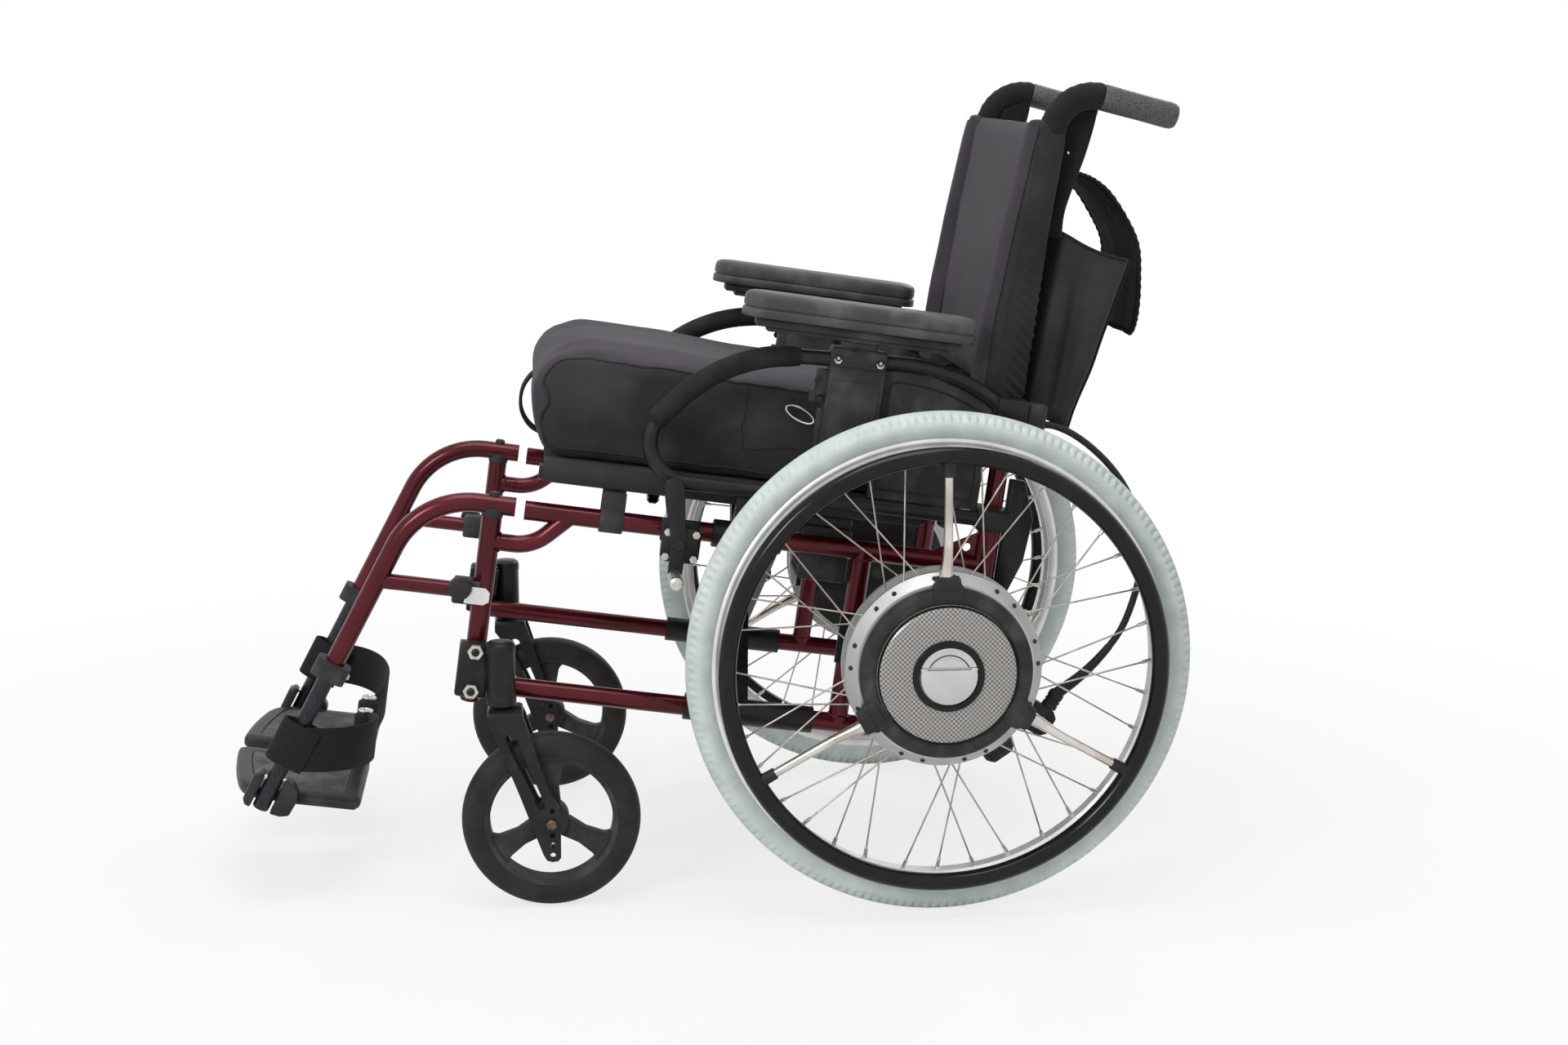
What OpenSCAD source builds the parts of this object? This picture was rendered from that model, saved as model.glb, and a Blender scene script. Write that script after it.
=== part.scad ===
// Folding wheelchair with power-assist drive wheels.
// +X points to the rear of the chair, +Y to its right side, +Z up; the floor is at zero.

/* [Drive wheels] */
// Radius of the drive wheel over the tyre
wheel_r = 287; // [280:1:300]
// Distance between the middle planes of the two tyres
wheel_track = 576; // [570:2:600]
// Section diameter of the drive tyre
tyre_d = 36; // [34:1:38]
// Width of the rim
rim_w = 26; // [22:1:30]
// Radial depth of the rim below the tyre's bed
rim_depth = 10; // [8:1:14]
// Spoke diameter
spoke_d = 2; // [1.8:0.1:2.4]
// Pairs of spokes on each hub flange
spoke_pairs = 9; // [6:1:10]
// Radius of the hub flanges
flange_r = 111; // [108:1:116]
// Radius of the motor housing
motor_r = 96; // [90:1:98]
// Radius of the axle
axle_r = 10; // [8:0.5:12]
// Where the axle sits behind the part's origin
axle_x = 263.5; // [255:0.5:270]

/* [Handrim and hub] */
// Radius of the handrim's centre line
handrim_r = 243; // [230:1:248]
// Tube diameter of the handrim
handrim_d = 20; // [16:1:22]
// Handrim plane outboard of the tyre's middle plane
handrim_out = 40; // [38:1:46]
// Radius of the patterned hub disc
disc_r = 79; // [70:1:82]
// Radial width of the black ring that carries the handrim arms
carrier_w = 18; // [14:1:20]
// Radius of the release knob
knob_r = 32; // [26:1:36]
// Diameter of a handrim arm
arm_d = 10; // [8:1:12]

/* [Side frames] */
// Backward tilt of the side frames
tilt = 8.1; // [5:0.1:10]
// Distance between the left and right frame tubes
frame_width = 390; // [386:2:430]
// Tube diameter of the rails
tube_d = 22; // [20:0.5:24]
// Tube diameter of the uprights
upright_d = 23; // [22:0.5:25]
// Frame length from front upright to rear upright
rear_u = 568; // [560:1:600]
// Depth of the lower rail below the seat tube
lower_drop = 206; // [196:1:220]
// Front upright to the upright before the axle
mid_u = 425; // [415:1:440]
// Axle position along the side frame
axle_u = 516; // [505:1:525]
// Height of the seat tubes above the floor, at the front uprights
seat_h = 459.3; // [450:0.1:470]
// Overhang of the lower rail behind the rear upright
rail_tail = 32; // [20:1:60]
// Bore radius of the rear anti-tip socket
socket_r = 8.5; // [7:0.5:9]
// Depth of the rear anti-tip socket
socket_len = 60; // [40:1:80]

/* [Back] */
// Length of the back cane above the seat tube, up to its bend
cane_top = 501.6; // [495:0.1:540]
// Radius of the bend to the push handle
cane_bend_r = 45; // [44:1:60]
// Downward slope of the push handle against the side frame
handle_drop = 6.5; // [0:0.5:15]
// Length of the push handle
handle_len = 85; // [80:1:110]
// Radius of the push grip
grip_r = 15; // [13.5:0.5:17]
// Height of the cane socket above the seat tube
receiver_h = 44; // [36:1:45]

/* [Castors] */
// Castor radius
castor_r = 102; // [97:1:104]
// Castor width
castor_w = 34; // [28:1:36]
// Castor trail behind the swivel axis
trail = 54; // [48:1:55]
// Castor swivel axis behind the front upright
castor_back = 31; // [29:0.5:33]
// Castor swivel axis outboard of the front upright
castor_out = 34; // [32:0.5:36]
// Radius of the castor housing
housing_r = 17; // [16:0.5:18]
// Height of the castor housing
housing_h = 75; // [70:1:80]
// Radius of the castor fork's stem
stem_r = 8; // [6:0.5:10]

/* [Footrests] */
// Angle that the hanger tube turns through
hanger_turn = 70; // [66:1:75]
// Bend radius of the hanger tube
hanger_bend_r = 93; // [88:1:100]
// Length of the hanger's straight leg
leg_len = 165; // [155:1:175]
// Length of the footplate tube, from the top of the leg
foot_tube_end = 342; // [335:1:350]
// Diameter of the footplate tube
foot_tube_d = 19; // [16:0.5:19]
// Thickness of the footplate
plate_t = 16; // [12:1:18]
// Length of the footplate along its inner edge
plate_len = 158; // [140:1:160]
// Gap between the footplate and the middle of the chair
plate_gap = 18.5; // [18.5:0.5:24]
// Radius of the rounded toe edge
toe_r = 430; // [400:5:500]
// Width of the heel loop's strap
strap_w = 56; // [40:1:60]

/* [Armrests] */
// Tube diameter of the armrest hoop
hoop_d = 22; // [20:0.5:24]
// Hoop's plane outboard of the side frame
hoop_out = 27; // [26.5:0.5:32]
// Height of the hoop's lower tube above the seat tube
hoop_low = 58; // [56:1:62]
// Length of the armrest pad
pad_len = 268; // [240:1:280]
// Width of the armrest pad
pad_w = 55; // [45:1:60]
// Thickness of the armrest pad
pad_t = 28; // [22:1:32]

/* [Seat] */
// Height of the seat rails above the seat tubes
rail_v = 48; // [46:1:52]
// Diameter of the seat rails
rail_d = 20; // [18:0.5:22]
// Length of the seat rails
rail_len = 444; // [400:2:446]
// Distance from the cushion's edge in to the frame tube's middle
cushion_inset = 7; // [5:0.5:20]
// Length of the seat cushion
cushion_len = 490; // [440:2:492]
// Thickness of the cushion at its edges
cushion_t = 120; // [80:2:130]
// Crown of the cushion over its edges
cushion_crown = 20; // [6:1:24]
// Reach of the back upholstery past the canes' middle
back_over = 7; // [5:0.5:10]
// Height of the back upholstery
back_h = 308; // [280:2:308]
// Thickness of the back upholstery
back_t = 37; // [30:1:60]

/* [Fits] */
// Gap between seated pieces
fit = 0.25; // [0.2:0.05:0.3]
// Radial play of a pin in its bore
run = 0.05; // [0.03:0.01:0.08]

/* [Hidden] */
$fn = 48;
tyre_mid = wheel_track / 2;
frame_y = frame_width / 2;
frame_z = seat_h;
axle_drop = (seat_h - wheel_r - axle_u * sin(tilt)) / cos(tilt);
frame_x = axle_x - axle_u * cos(tilt) + axle_drop * sin(tilt);

// Wheel stations, measured outboard of the tyre's middle plane
motor_in = -48;
motor_out = -16;
flange_in = -8;
flange_out = 23;
flange_t = 6;
hub_gap = 0.5;
hub_face = 37;
boss_face = 50;
disc_face = 58;
knob_face = 62.3;

// Wheel radii
bed_r = wheel_r - tyre_d / 2;
bead_r = tyre_d / 2;
rim_out_r = bed_r - bead_r + 7;
rim_in_r = bed_r - bead_r - rim_depth;
hub_r = flange_r - 11;
spoke_circle_r = flange_r - 6;
spoke_head_turn = 6;
spoke_rim_turn = 10;
spoke_set = 2.6;
spoke_seat = 3;
carrier_r = disc_r + carrier_w;
carrier_top = 52;
hinge_rise = 8;
flap_t = 4;
flap_pin_r = 1.2;

// Side frame stations: u runs rearward along the frame, v up from the seat tube
upright_low = -225;
upright_top = -12;
seat_front = 36;
brace_drop = 40;
brace_run = 28;
brace_r = 50;
brace_d = 20;
lower_v = -lower_drop;
axle_v = -axle_drop;
cushion_w = frame_width - 2 * cushion_inset;
back_w = frame_width + 2 * back_over;
receiver_d = 27;
gusset_t = 5;
gusset_len = 70;
cane_d = 22;
bend_over = 0.6;

// Castor stations
bracket_h = 66;
crown_clear = 11.65;
fork_gap = 3;
crown_t = 18;
housing_z = 2 * castor_r + crown_clear + crown_t + fork_gap;
bracket_v = (housing_z + housing_h / 2 + 2 - frame_z) / cos(tilt);
castor_x = side_x(0, bracket_v) + castor_back;
castor_y = frame_y + castor_out;
fork_t = 6;
fork_side = 2.5;
castor_axle_r = 4;

// Footrest stations
hanger_v = 2;
hanger_rear = 25;
hanger_run = 17;
pivot_r = 7;
pivot_len = 50;
strut_v = -100;
strut_d = 18;
collar_r = 15;
leg_top = [-hanger_run - hanger_bend_r * sin(hanger_turn), hanger_v - hanger_bend_r * (1 - cos(hanger_turn))];
leg_dir = [-cos(hanger_turn), -sin(hanger_turn)];
flip_s = 303;
flip_u = leg_top.x + flip_s * leg_dir.x;
flip_v = leg_top.y + flip_s * leg_dir.y;
flip_pin_r = 4;
plate_drop = 17;
plate_in = frame_y - plate_gap;
toe_u = -268;
post_r = 9;
post_h = 64;
post_u = toe_u + plate_len - 12;

// Armrest stations
box_u = 351;
box_len = 64;
box_low = 111;
box_top = 233;
box_in = hoop_out - 13.5;
box_out = hoop_out + 14;
post_len = 40;
post_u0 = box_u + (box_len - post_len) / 2;
post_t = 16;
pad_v = 255;
pad_front = 245;
nose_u = 210;
nose_r = 46;
nose_turn = 130;
brow_r = 180;
brow_end = 3;
tail_r = 200;
tail_end = 32;
brow_u = 430;

// Cross brace stations
arm_u = 320;
arm_w = 21;
arm_t = 18;
arm_gap = 1.5;
sleeve_len = 150;
sleeve_r = 15.5;
arm_angle = atan2(rail_v + lower_drop, frame_width);
arm_len = norm([rail_v + lower_drop, frame_width]);
stud_r = 6;
rail_u = 46;
cloth_t = 2.4;

// The lead's route from the back socket to the motor plug, as [x behind the axle, y, z above the axle]
lead_d = 8;
lead_route = [[128, -216, 259], [142, -217, 257], [162, -219, 248], [184, -222, 232], [206, -224, 210],
    [224, -226, 184], [236, -228, 154], [242, -230, 120], [241, -232, 86], [233, -234, 54],
    [219, -238, 22], [197, -243, -5], [170, -251, -28], [141, -259, -46]];
plug_r = 9;
socket_turn = 32;
socket_w = 34;
socket_root = 26;
socket_reach = 158;
second_turn = 24;
second_w = 38;
second_reach = 142;

maroon = "#5c0d1a";
black = "#1c1c1e";
silver = "#c9ccce";
steel = "#a9a5a0";
teal = "#b4c3c2";
fabric = "#2c2a33";

// World place of a point in the side frame's plane
function side_x(u, v) = frame_x + u * cos(tilt) + v * sin(tilt);
function side_z(u, v) = frame_z - u * sin(tilt) + v * cos(tilt);

// A power that keeps its base's sign, for rounded-box sections
function soft_pow(a, p) = sign(a) * pow(abs(a), p);

// Places children in the left side frame: x rearward along it, y up, z outboard
module left_side() translate([frame_x, -frame_y, frame_z]) rotate([0, tilt, 0]) rotate([90, 0, 0]) children();

// Places children on the left wheel's axis: x rearward, y up, z outboard from the chair's middle
module left_wheel() translate([axle_x, 0, wheel_r]) rotate([90, 0, 0]) children();

// Places children in the tilted seat: x rearward, y to the right, z up from the seat tubes
module seat() translate([frame_x, 0, frame_z]) rotate([0, tilt, 0]) children();

// Makes a right-hand piece from its left-hand twin
module right() mirror([0, 1, 0]) children();

// A round bar between two points
module tube(p, q, d) {
    along = q - p;
    translate(p) rotate([0, acos(along.z / norm(along)), atan2(along.y, along.x)])
        cylinder(h = norm(along), d = d);
}

// A bent round bar about the local z axis, from one angle to a larger one.
// It is a hair thinner than the straight bars and runs a little way into them
module bend(c, r, from, to, d) {
    translate(c) rotate([0, 0, from - bend_over]) rotate_extrude(angle = to - from + 2 * bend_over)
        translate([r, 0]) circle(d = d - 0.1);
}

// A box between two points of one plane, with its width across that line
module bar(p, q, width, t) {
    translate(p) rotate([0, 0, atan2(q.y - p.y, q.x - p.x)]) translate([0, -width / 2, 0])
        cube([norm(q - p), width, t]);
}

// A box from its low corner to its high corner
module block(low, high) translate(low) cube(high - low);

// A closed skin over a row of rings that all have the same number of points
module loft(rings) {
    n = len(rings);
    m = len(rings[0]);
    ends = [for (r = [rings[0], rings[n - 1]]) [for (k = [0:2]) sum_of([for (p = r) p[k]]) / m]];
    points = concat([for (r = rings) each r], ends);
    walls = [for (i = [0:n - 2], j = [0:m - 1]) let (a = i * m + j, b = i * m + (j + 1) % m)
        each [[a, b, a + m], [b, b + m, a + m]]];
    first = [for (j = [0:m - 1]) [n * m, (j + 1) % m, j]];
    last = [for (j = [0:m - 1]) [n * m + 1, (n - 1) * m + j, (n - 1) * m + (j + 1) % m]];
    polyhedron(points, concat(walls, first, last));
}

function sum_of(list, i = 0) = i < len(list) ? list[i] + sum_of(list, i + 1) : 0;

// Welded tube frame of one side, with the sockets for hanger, cane and anti-tip tube
module left_side_frame() color(maroon) left_side() difference() {
    union() {
        tube([0, upright_low, 0], [0, upright_top, 0], upright_d);
        tube([seat_front, 0, 0], [rear_u, 0, 0], tube_d);
        tube([0, -brace_drop, 0], [brace_run, -brace_drop, 0], brace_d);
        bend([brace_run, brace_r - brace_drop, 0], brace_r, 270, 315, brace_d);
        brace_end = [brace_run + brace_r * sin(45), brace_r * (1 - cos(45)) - brace_drop, 0];
        tube(brace_end, brace_end - [brace_end.y, brace_end.y, 0], brace_d);
        tube([0, lower_v, 0], [rear_u + rail_tail, lower_v, 0], tube_d);
        tube([mid_u, lower_v, 0], [mid_u, 0, 0], upright_d);
        tube([rear_u, lower_v, 0], [rear_u, 0, 0], upright_d);
        tube([rear_u, -receiver_d / 2, 0], [rear_u, receiver_h, 0], receiver_d);
        translate([0, 0, -gusset_t / 2]) linear_extrude(gusset_t)
            polygon([[rear_u - gusset_len, tube_d / 4], [rear_u, tube_d / 4], [rear_u, receiver_h]]);
    }
    tube([0, hanger_v - pivot_len - 2, 0], [0, hanger_v, 0], 2 * (pivot_r + run));
    tube([rear_u, 0, 0], [rear_u, receiver_h + 1, 0], cane_d + 2 * fit);
    tail_u = rear_u + rail_tail;
    tube([tail_u - socket_len, lower_v, 0], [tail_u + 1, lower_v, 0], 2 * socket_r);
    translate([rear_u - gusset_len / 3, receiver_h / 2 - 3, -gusset_t]) cylinder(h = 2 * gusset_t, r = 5);
}
module right_side_frame() right() left_side_frame();

handle_end = 90 - handle_drop;
bend_c = [rear_u + cane_bend_r, cane_top, 0];
handle_top = bend_c + cane_bend_r * [cos(handle_end), sin(handle_end), 0];
handle_dir = [sin(handle_end), -cos(handle_end), 0];

// Back tube that stands in its socket and bends rearward into the push handle
module left_back_cane() color(maroon) left_side() {
    tube([rear_u, 0, 0], [rear_u, cane_top, 0], cane_d);
    bend(bend_c, cane_bend_r, handle_end, 180, cane_d);
    tube(handle_top, handle_top + handle_len * handle_dir, cane_d);
}
module right_back_cane() right() left_back_cane();

// Foam grip pushed over the end of the handle
module left_push_grip() color(black) left_side() difference() {
    tube(handle_top, handle_top + (handle_len + 4) * handle_dir, 2 * grip_r);
    tube(handle_top - handle_dir, handle_top + handle_len * handle_dir, cane_d + 2 * fit);
}
module right_push_grip() right() left_push_grip();

// Clamp bracket and upright bearing tube that carry the castor beside the front upright
module left_castor_housing() color(black) difference() {
    union() {
        translate([castor_x, -castor_y, housing_z]) cylinder(h = housing_h, r = housing_r);
        left_side()
            block([-19, bracket_v - bracket_h / 2, 2], [19, bracket_v + bracket_h / 2, castor_out - 4]);
    }
    translate([castor_x, -castor_y, housing_z - 1]) cylinder(h = housing_h - 7, r = stem_r + run);
    left_side() tube([0, upright_low - 20, 0], [0, upright_top, 0], upright_d + 2 * fit);
    left_side() tube([0, lower_v, 0], [rear_u, lower_v, 0], tube_d + 2 * fit);
}
module right_castor_housing() right() left_castor_housing();

fork_in = castor_w / 2 + fork_side;
fork_out = fork_in + fork_t;
crown_z = housing_z - fork_gap;

// Castor fork: stem, crown, two slanting legs and the wheel's axle bolt
module left_castor_fork() color(black) translate([castor_x, -castor_y, 0]) {
    translate([0, 0, crown_z - crown_t]) cylinder(h = housing_h - 12 + crown_t, r = stem_r);
    block([-16, -fork_out, crown_z - crown_t], [24, fork_out, crown_z]);
    for (low = [-fork_out, fork_in]) {
        translate([0, low + fork_t, 0]) rotate([90, 0, 0]) difference() {
            union() {
                bar([4, crown_z - crown_t / 2, 0], [trail, castor_r, 0], 26, fork_t);
                translate([trail, castor_r, 0]) cylinder(h = fork_t, r = 14);
            }
            for (k = [0.3, 0.45, 0.6])
                translate([4 + k * (trail - 4), (1 - k) * (crown_z - crown_t / 2) + k * castor_r, -1])
                    cylinder(h = fork_t + 2, r = 4);
        }
    }
    translate([trail, fork_out + 3, castor_r]) rotate([90, 0, 0])
        cylinder(h = 2 * fork_out + 6, r = castor_axle_r);
}
module right_castor_fork() right() left_castor_fork();

castor_rim_r = castor_r - 24;
castor_hub_r = 20;

// Castor wheel: moulded three-spoke centre with its solid tyre bonded on
module left_castor_wheel() color(black)
translate([castor_x + trail, -castor_y, castor_r]) rotate([90, 0, 0]) difference() {
    union() {
        rotate_extrude() polygon([[castor_rim_r - 8, -castor_w / 2 + 4], [castor_rim_r + 2, -castor_w / 2],
            [castor_r - 8, -castor_w / 2], [castor_r, -castor_w / 2 + 8], [castor_r, castor_w / 2 - 8],
            [castor_r - 8, castor_w / 2], [castor_rim_r + 2, castor_w / 2],
            [castor_rim_r - 8, castor_w / 2 - 4]]);
        cylinder(h = castor_w + 2, r = castor_hub_r, center = true);
        for (a = [90:120:330]) rotate([0, 0, a])
            block([castor_hub_r / 2, -13, -castor_w / 2 + 6], [castor_rim_r - 4, 13, castor_w / 2 - 6]);
    }
    cylinder(h = castor_w + 10, r = castor_axle_r + run, center = true);
}
module right_castor_wheel() right() left_castor_wheel();

function leg_at(s) = [leg_top.x + s * leg_dir.x, leg_top.y + s * leg_dir.y, 0];

// Swing-away hanger: bent tube on a pivot pin, strut and the latch that grips the upright
module left_hanger() color(maroon) left_side() difference() {
    union() {
        tube([-hanger_run, hanger_v, 0], [hanger_rear, hanger_v, 0], tube_d);
        bend([-hanger_run, hanger_v - hanger_bend_r, 0], hanger_bend_r, 90, 90 + hanger_turn, tube_d);
        tube(leg_at(0), leg_at(leg_len), tube_d);
        tube([0, hanger_v - pivot_len, 0], [0, hanger_v, 0], 2 * pivot_r);
        tube([0, upright_top + 0.4, 0], [0, hanger_v, 0], upright_d + 1);
        tube([0, hanger_v, 0], [0, hanger_v + tube_d / 2 + 4, 0], 12);
        strut_s = (leg_top.y - strut_v) / sin(hanger_turn);
        tube(leg_at(strut_s), [-26, strut_v, 0], strut_d);
        block([-34, strut_v - 14, -14], [-3, strut_v + 14, 14]);
        translate([-26, strut_v + 6, 13]) cylinder(h = 16, r = 13);
        block([-20, strut_v - 12, 12.5], [8, strut_v + 8, 15]);
    }
    tube([0, strut_v - 30, 0], [0, strut_v + 30, 0], upright_d + 2 * fit + 0.2);
    tube(leg_at(leg_len - 62), leg_at(leg_len + 1), foot_tube_d + 2 * fit);
}
module right_hanger() right() left_hanger();

// Footplate tube that telescopes into the hanger, with its clamp collar and hinge pin
module left_footrest_tube() color("#2b2f33") left_side() {
    tube(leg_at(leg_len - 60), leg_at(foot_tube_end), foot_tube_d);
    difference() {
        tube(leg_at(leg_len - 14), leg_at(leg_len + 14), 2 * collar_r);
        tube(leg_at(leg_len - 15), leg_at(leg_len + fit), tube_d + 2 * fit);
    }
    tube([flip_u - 22, flip_v, 0], [flip_u + 18, flip_v, 0], 22);
    tube([flip_u - 52, flip_v, 0], [flip_u + 46, flip_v, 0], 2 * flip_pin_r);
}
module right_footrest_tube() right() left_footrest_tube();

plate_top = flip_v - plate_drop;
post_w = 12 - plate_in;
knuckle_d = 20;
knuckle_len = 22;

// The round toe edge as an upright cylinder, for any radius
module toe_round(r) translate([toe_u + toe_r, plate_top, -frame_y]) rotate([90, 0, 0])
    cylinder(h = 4 * plate_t, r = r, center = true, $fn = 96);

// Footplate with a rounded toe, hinge knuckles on its outer edge and the heel loop's post
module left_footplate() color(black) left_side() difference() {
    union() {
        intersection() {
            block([toe_u, plate_top - plate_t, -plate_in], [toe_u + plate_len, plate_top, -12]);
            toe_round(toe_r);
        }
        block([flip_u - 50, plate_top - plate_t, -46], [flip_u - 14, plate_top, -12]);
        for (u = [flip_u - 50, flip_u + 22]) {
            tube([u, flip_v, 0], [u + knuckle_len, flip_v, 0], knuckle_d);
            block([u, plate_top - plate_t, -24], [u + knuckle_len, flip_v, -2]);
        }
        translate([post_u, plate_top - 2, post_w]) rotate([-90, 0, 0]) cylinder(h = post_h, r = post_r);
    }
    tube([toe_u - 20, flip_v, 0], [toe_u + plate_len, flip_v, 0], 2 * (flip_pin_r + run));
    translate([0, plate_top - plate_t, -plate_in]) rotate([45, 0, 0])
        cube([2 * toe_r, 12, 12], center = true);
    intersection() {
        block([toe_u, plate_top - 4, -plate_in + 24], [toe_u + plate_len - 12, plate_top + 1, -50]);
        toe_round(toe_r - 18);
    }
}
module right_footplate() right() left_footplate();

strap_t = 3.5;
strap_low = flip_v + knuckle_d / 2 + 2;
strap_steps = 16;
strap_gap = 0.3;
strap_route = [[flip_u + 13, 3], [-104, -8], [-104, -120], [post_u + 2, post_w + 4]];

// Places along the heel loop, seen from above, and the direction across it
function strap_at(k) = let (a = 1 - k) a * a * a * strap_route[0] + 3 * a * a * k * strap_route[1]
    + 3 * a * k * k * strap_route[2] + k * k * k * strap_route[3];
function strap_across(k) = let (d = strap_at(k + 0.01) - strap_at(k - 0.01)) [-d.y, d.x] / norm(d);
function strap_edge(i, s) = strap_at(i / strap_steps) + s * strap_t / 2 * strap_across(i / strap_steps);

// Heel loop: a flat strap sewn round the footplate tube and, at its other end, round the plate's post
module left_heel_loop() color(black) left_side() difference() {
    edges = concat([for (i = [0:strap_steps]) strap_edge(i, 1)],
        [for (i = [strap_steps:-1:0]) strap_edge(i, -1)]);
    union() {
        translate([0, strap_low, 0]) rotate([-90, 0, 0]) linear_extrude(strap_w)
            polygon([for (p = edges) [p.x, -p.y]]);
        tube(leg_at(flip_s - 70), leg_at(flip_s - 20), foot_tube_d + 2 * (strap_gap + strap_t));
        translate([post_u, strap_low, post_w]) rotate([-90, 0, 0])
            cylinder(h = strap_w, r = post_r + strap_gap + strap_t);
    }
    tube(leg_at(leg_len), leg_at(foot_tube_end), foot_tube_d + 2 * strap_gap);
    translate([post_u, strap_low - 9, post_w]) rotate([-90, 0, 0])
        cylinder(h = post_h + 20, r = post_r + strap_gap);
}
module right_heel_loop() right() left_heel_loop();

// Drive tyre seated in the rim's bed
module left_drive_tyre() color(teal) left_wheel() translate([0, 0, tyre_mid])
    rotate_extrude($fn = 96) translate([bed_r, 0]) circle(r = bead_r);
module right_drive_tyre() right() left_drive_tyre();

// Aluminium rim with a round bed for the tyre
module left_drive_rim() color(silver) left_wheel() translate([0, 0, tyre_mid])
    rotate_extrude($fn = 96) difference() {
        polygon([[rim_in_r, -rim_w / 2 + 5], [rim_in_r + 5, -rim_w / 2], [rim_out_r, -rim_w / 2],
            [rim_out_r, rim_w / 2], [rim_in_r + 5, rim_w / 2], [rim_in_r, rim_w / 2 - 5]]);
        translate([bed_r, 0]) circle(r = bead_r + 0.2);
    }
module right_drive_rim() right() left_drive_rim();

// Stainless spokes: crossed pairs from both hub flanges to the rim
module left_wheel_spokes() color(steel) left_wheel() translate([0, 0, tyre_mid])
    for (flange = [0, 1], k = [0:spoke_pairs - 1], s = [-1, 1]) {
        pair = 270 + (k + flange / 4) * 360 / spoke_pairs;
        head = pair + s * spoke_head_turn;
        seat = pair - s * spoke_rim_turn;
        z = (flange == 0 ? flange_out : flange_in) + s * spoke_set;
        tube([spoke_circle_r * cos(head), spoke_circle_r * sin(head), z],
            [(rim_in_r + spoke_seat) * cos(seat), (rim_in_r + spoke_seat) * sin(seat), flange == 0 ? 5 : -5],
            spoke_d);
    }
module right_wheel_spokes() right() left_wheel_spokes();

// Hub shell of the wheel motor, with both spoke flanges and the boss for the handrim carrier
module left_hub_shell() color(silver) left_wheel() translate([0, 0, tyre_mid])
    rotate_extrude($fn = 96) polygon([
    [axle_r + run, motor_out + hub_gap], [motor_r, motor_out + hub_gap],
    [hub_r, flange_in - flange_t / 2], [flange_r, flange_in - flange_t / 2],
    [flange_r, flange_in + flange_t / 2], [hub_r, flange_in + flange_t / 2],
    [hub_r, flange_out - flange_t / 2], [flange_r, flange_out - flange_t / 2],
    [flange_r, flange_out + flange_t / 2], [hub_r, hub_face],
    [disc_r - run, hub_face], [disc_r - run, boss_face], [axle_r + run, boss_face]]);
module right_hub_shell() right() left_hub_shell();

// Handrim with its carrier ring and three arms, which turn a little against the hub
module left_handrim() color(black) left_wheel() translate([0, 0, tyre_mid]) {
    rotate_extrude($fn = 96) translate([handrim_r, handrim_out]) circle(d = handrim_d);
    difference() {
        union() {
            rotate_extrude($fn = 96) polygon([[disc_r - 1, hub_face + 0.4], [carrier_r, hub_face + 0.4],
                [carrier_r, carrier_top - 5], [carrier_r - 5, carrier_top], [disc_r - 1, carrier_top]]);
            for (a = [90, 210, 330]) rotate([0, 0, a]) {
                tube([carrier_r - 8, 0, 46], [handrim_r - handrim_d / 4, 0, handrim_out], arm_d);
                block([disc_r + 4, -17, hub_face + 0.4], [flange_r - 1, 17, carrier_top + 2]);
            }
        }
        cylinder(h = 2 * carrier_top + 40, r = disc_r);
    }
}
module right_handrim() right() left_handrim();

// Hub cover: patterned disc, raised ring with the handle's hinge holes and the fixed half of the knob
module left_hub_cover() color("#6b6d70") left_wheel() translate([0, 0, tyre_mid]) difference() {
    union() {
        translate([0, 0, boss_face + run]) cylinder(h = disc_face - boss_face - run, r = disc_r - 0.4);
        translate([0, 0, disc_face - 0.5]) difference() {
            cylinder(h = knob_face - disc_face + 0.5, r = knob_r + 6);
            translate([0, 0, -1]) cylinder(h = 10, r = knob_r + 0.8);
        }
        intersection() {
            translate([0, 0, disc_face - 0.5]) cylinder(h = knob_face - disc_face + 0.5, r = knob_r + 1);
            block([-knob_r - 1, hinge_rise + flap_t / 2 + 0.4, disc_face - 0.5],
                [knob_r + 1, knob_r + 1, knob_face]);
        }
    }
    translate([-knob_r - 4, hinge_rise, knob_face - flap_t / 2]) rotate([0, 90, 0])
        cylinder(h = 2 * knob_r + 8, r = flap_pin_r + run);
}
module right_hub_cover() right() left_hub_cover();

// Flip-out release handle: a D-shaped flap on a hinge pin
module left_release_handle() color(silver) left_wheel() translate([0, 0, tyre_mid + knob_face - flap_t]) {
    intersection() {
        cylinder(h = flap_t, r = knob_r - 0.3);
        block([-knob_r, -knob_r, 0], [knob_r, hinge_rise, flap_t]);
    }
    translate([6 - knob_r, hinge_rise, flap_t / 2]) rotate([0, 90, 0])
        cylinder(h = 2 * (knob_r - 6), r = flap_t / 2);
    translate([-knob_r - 3.5, hinge_rise, flap_t / 2]) rotate([0, 90, 0])
        cylinder(h = 2 * knob_r + 7, r = flap_pin_r);
}
module right_release_handle() right() left_release_handle();

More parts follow.
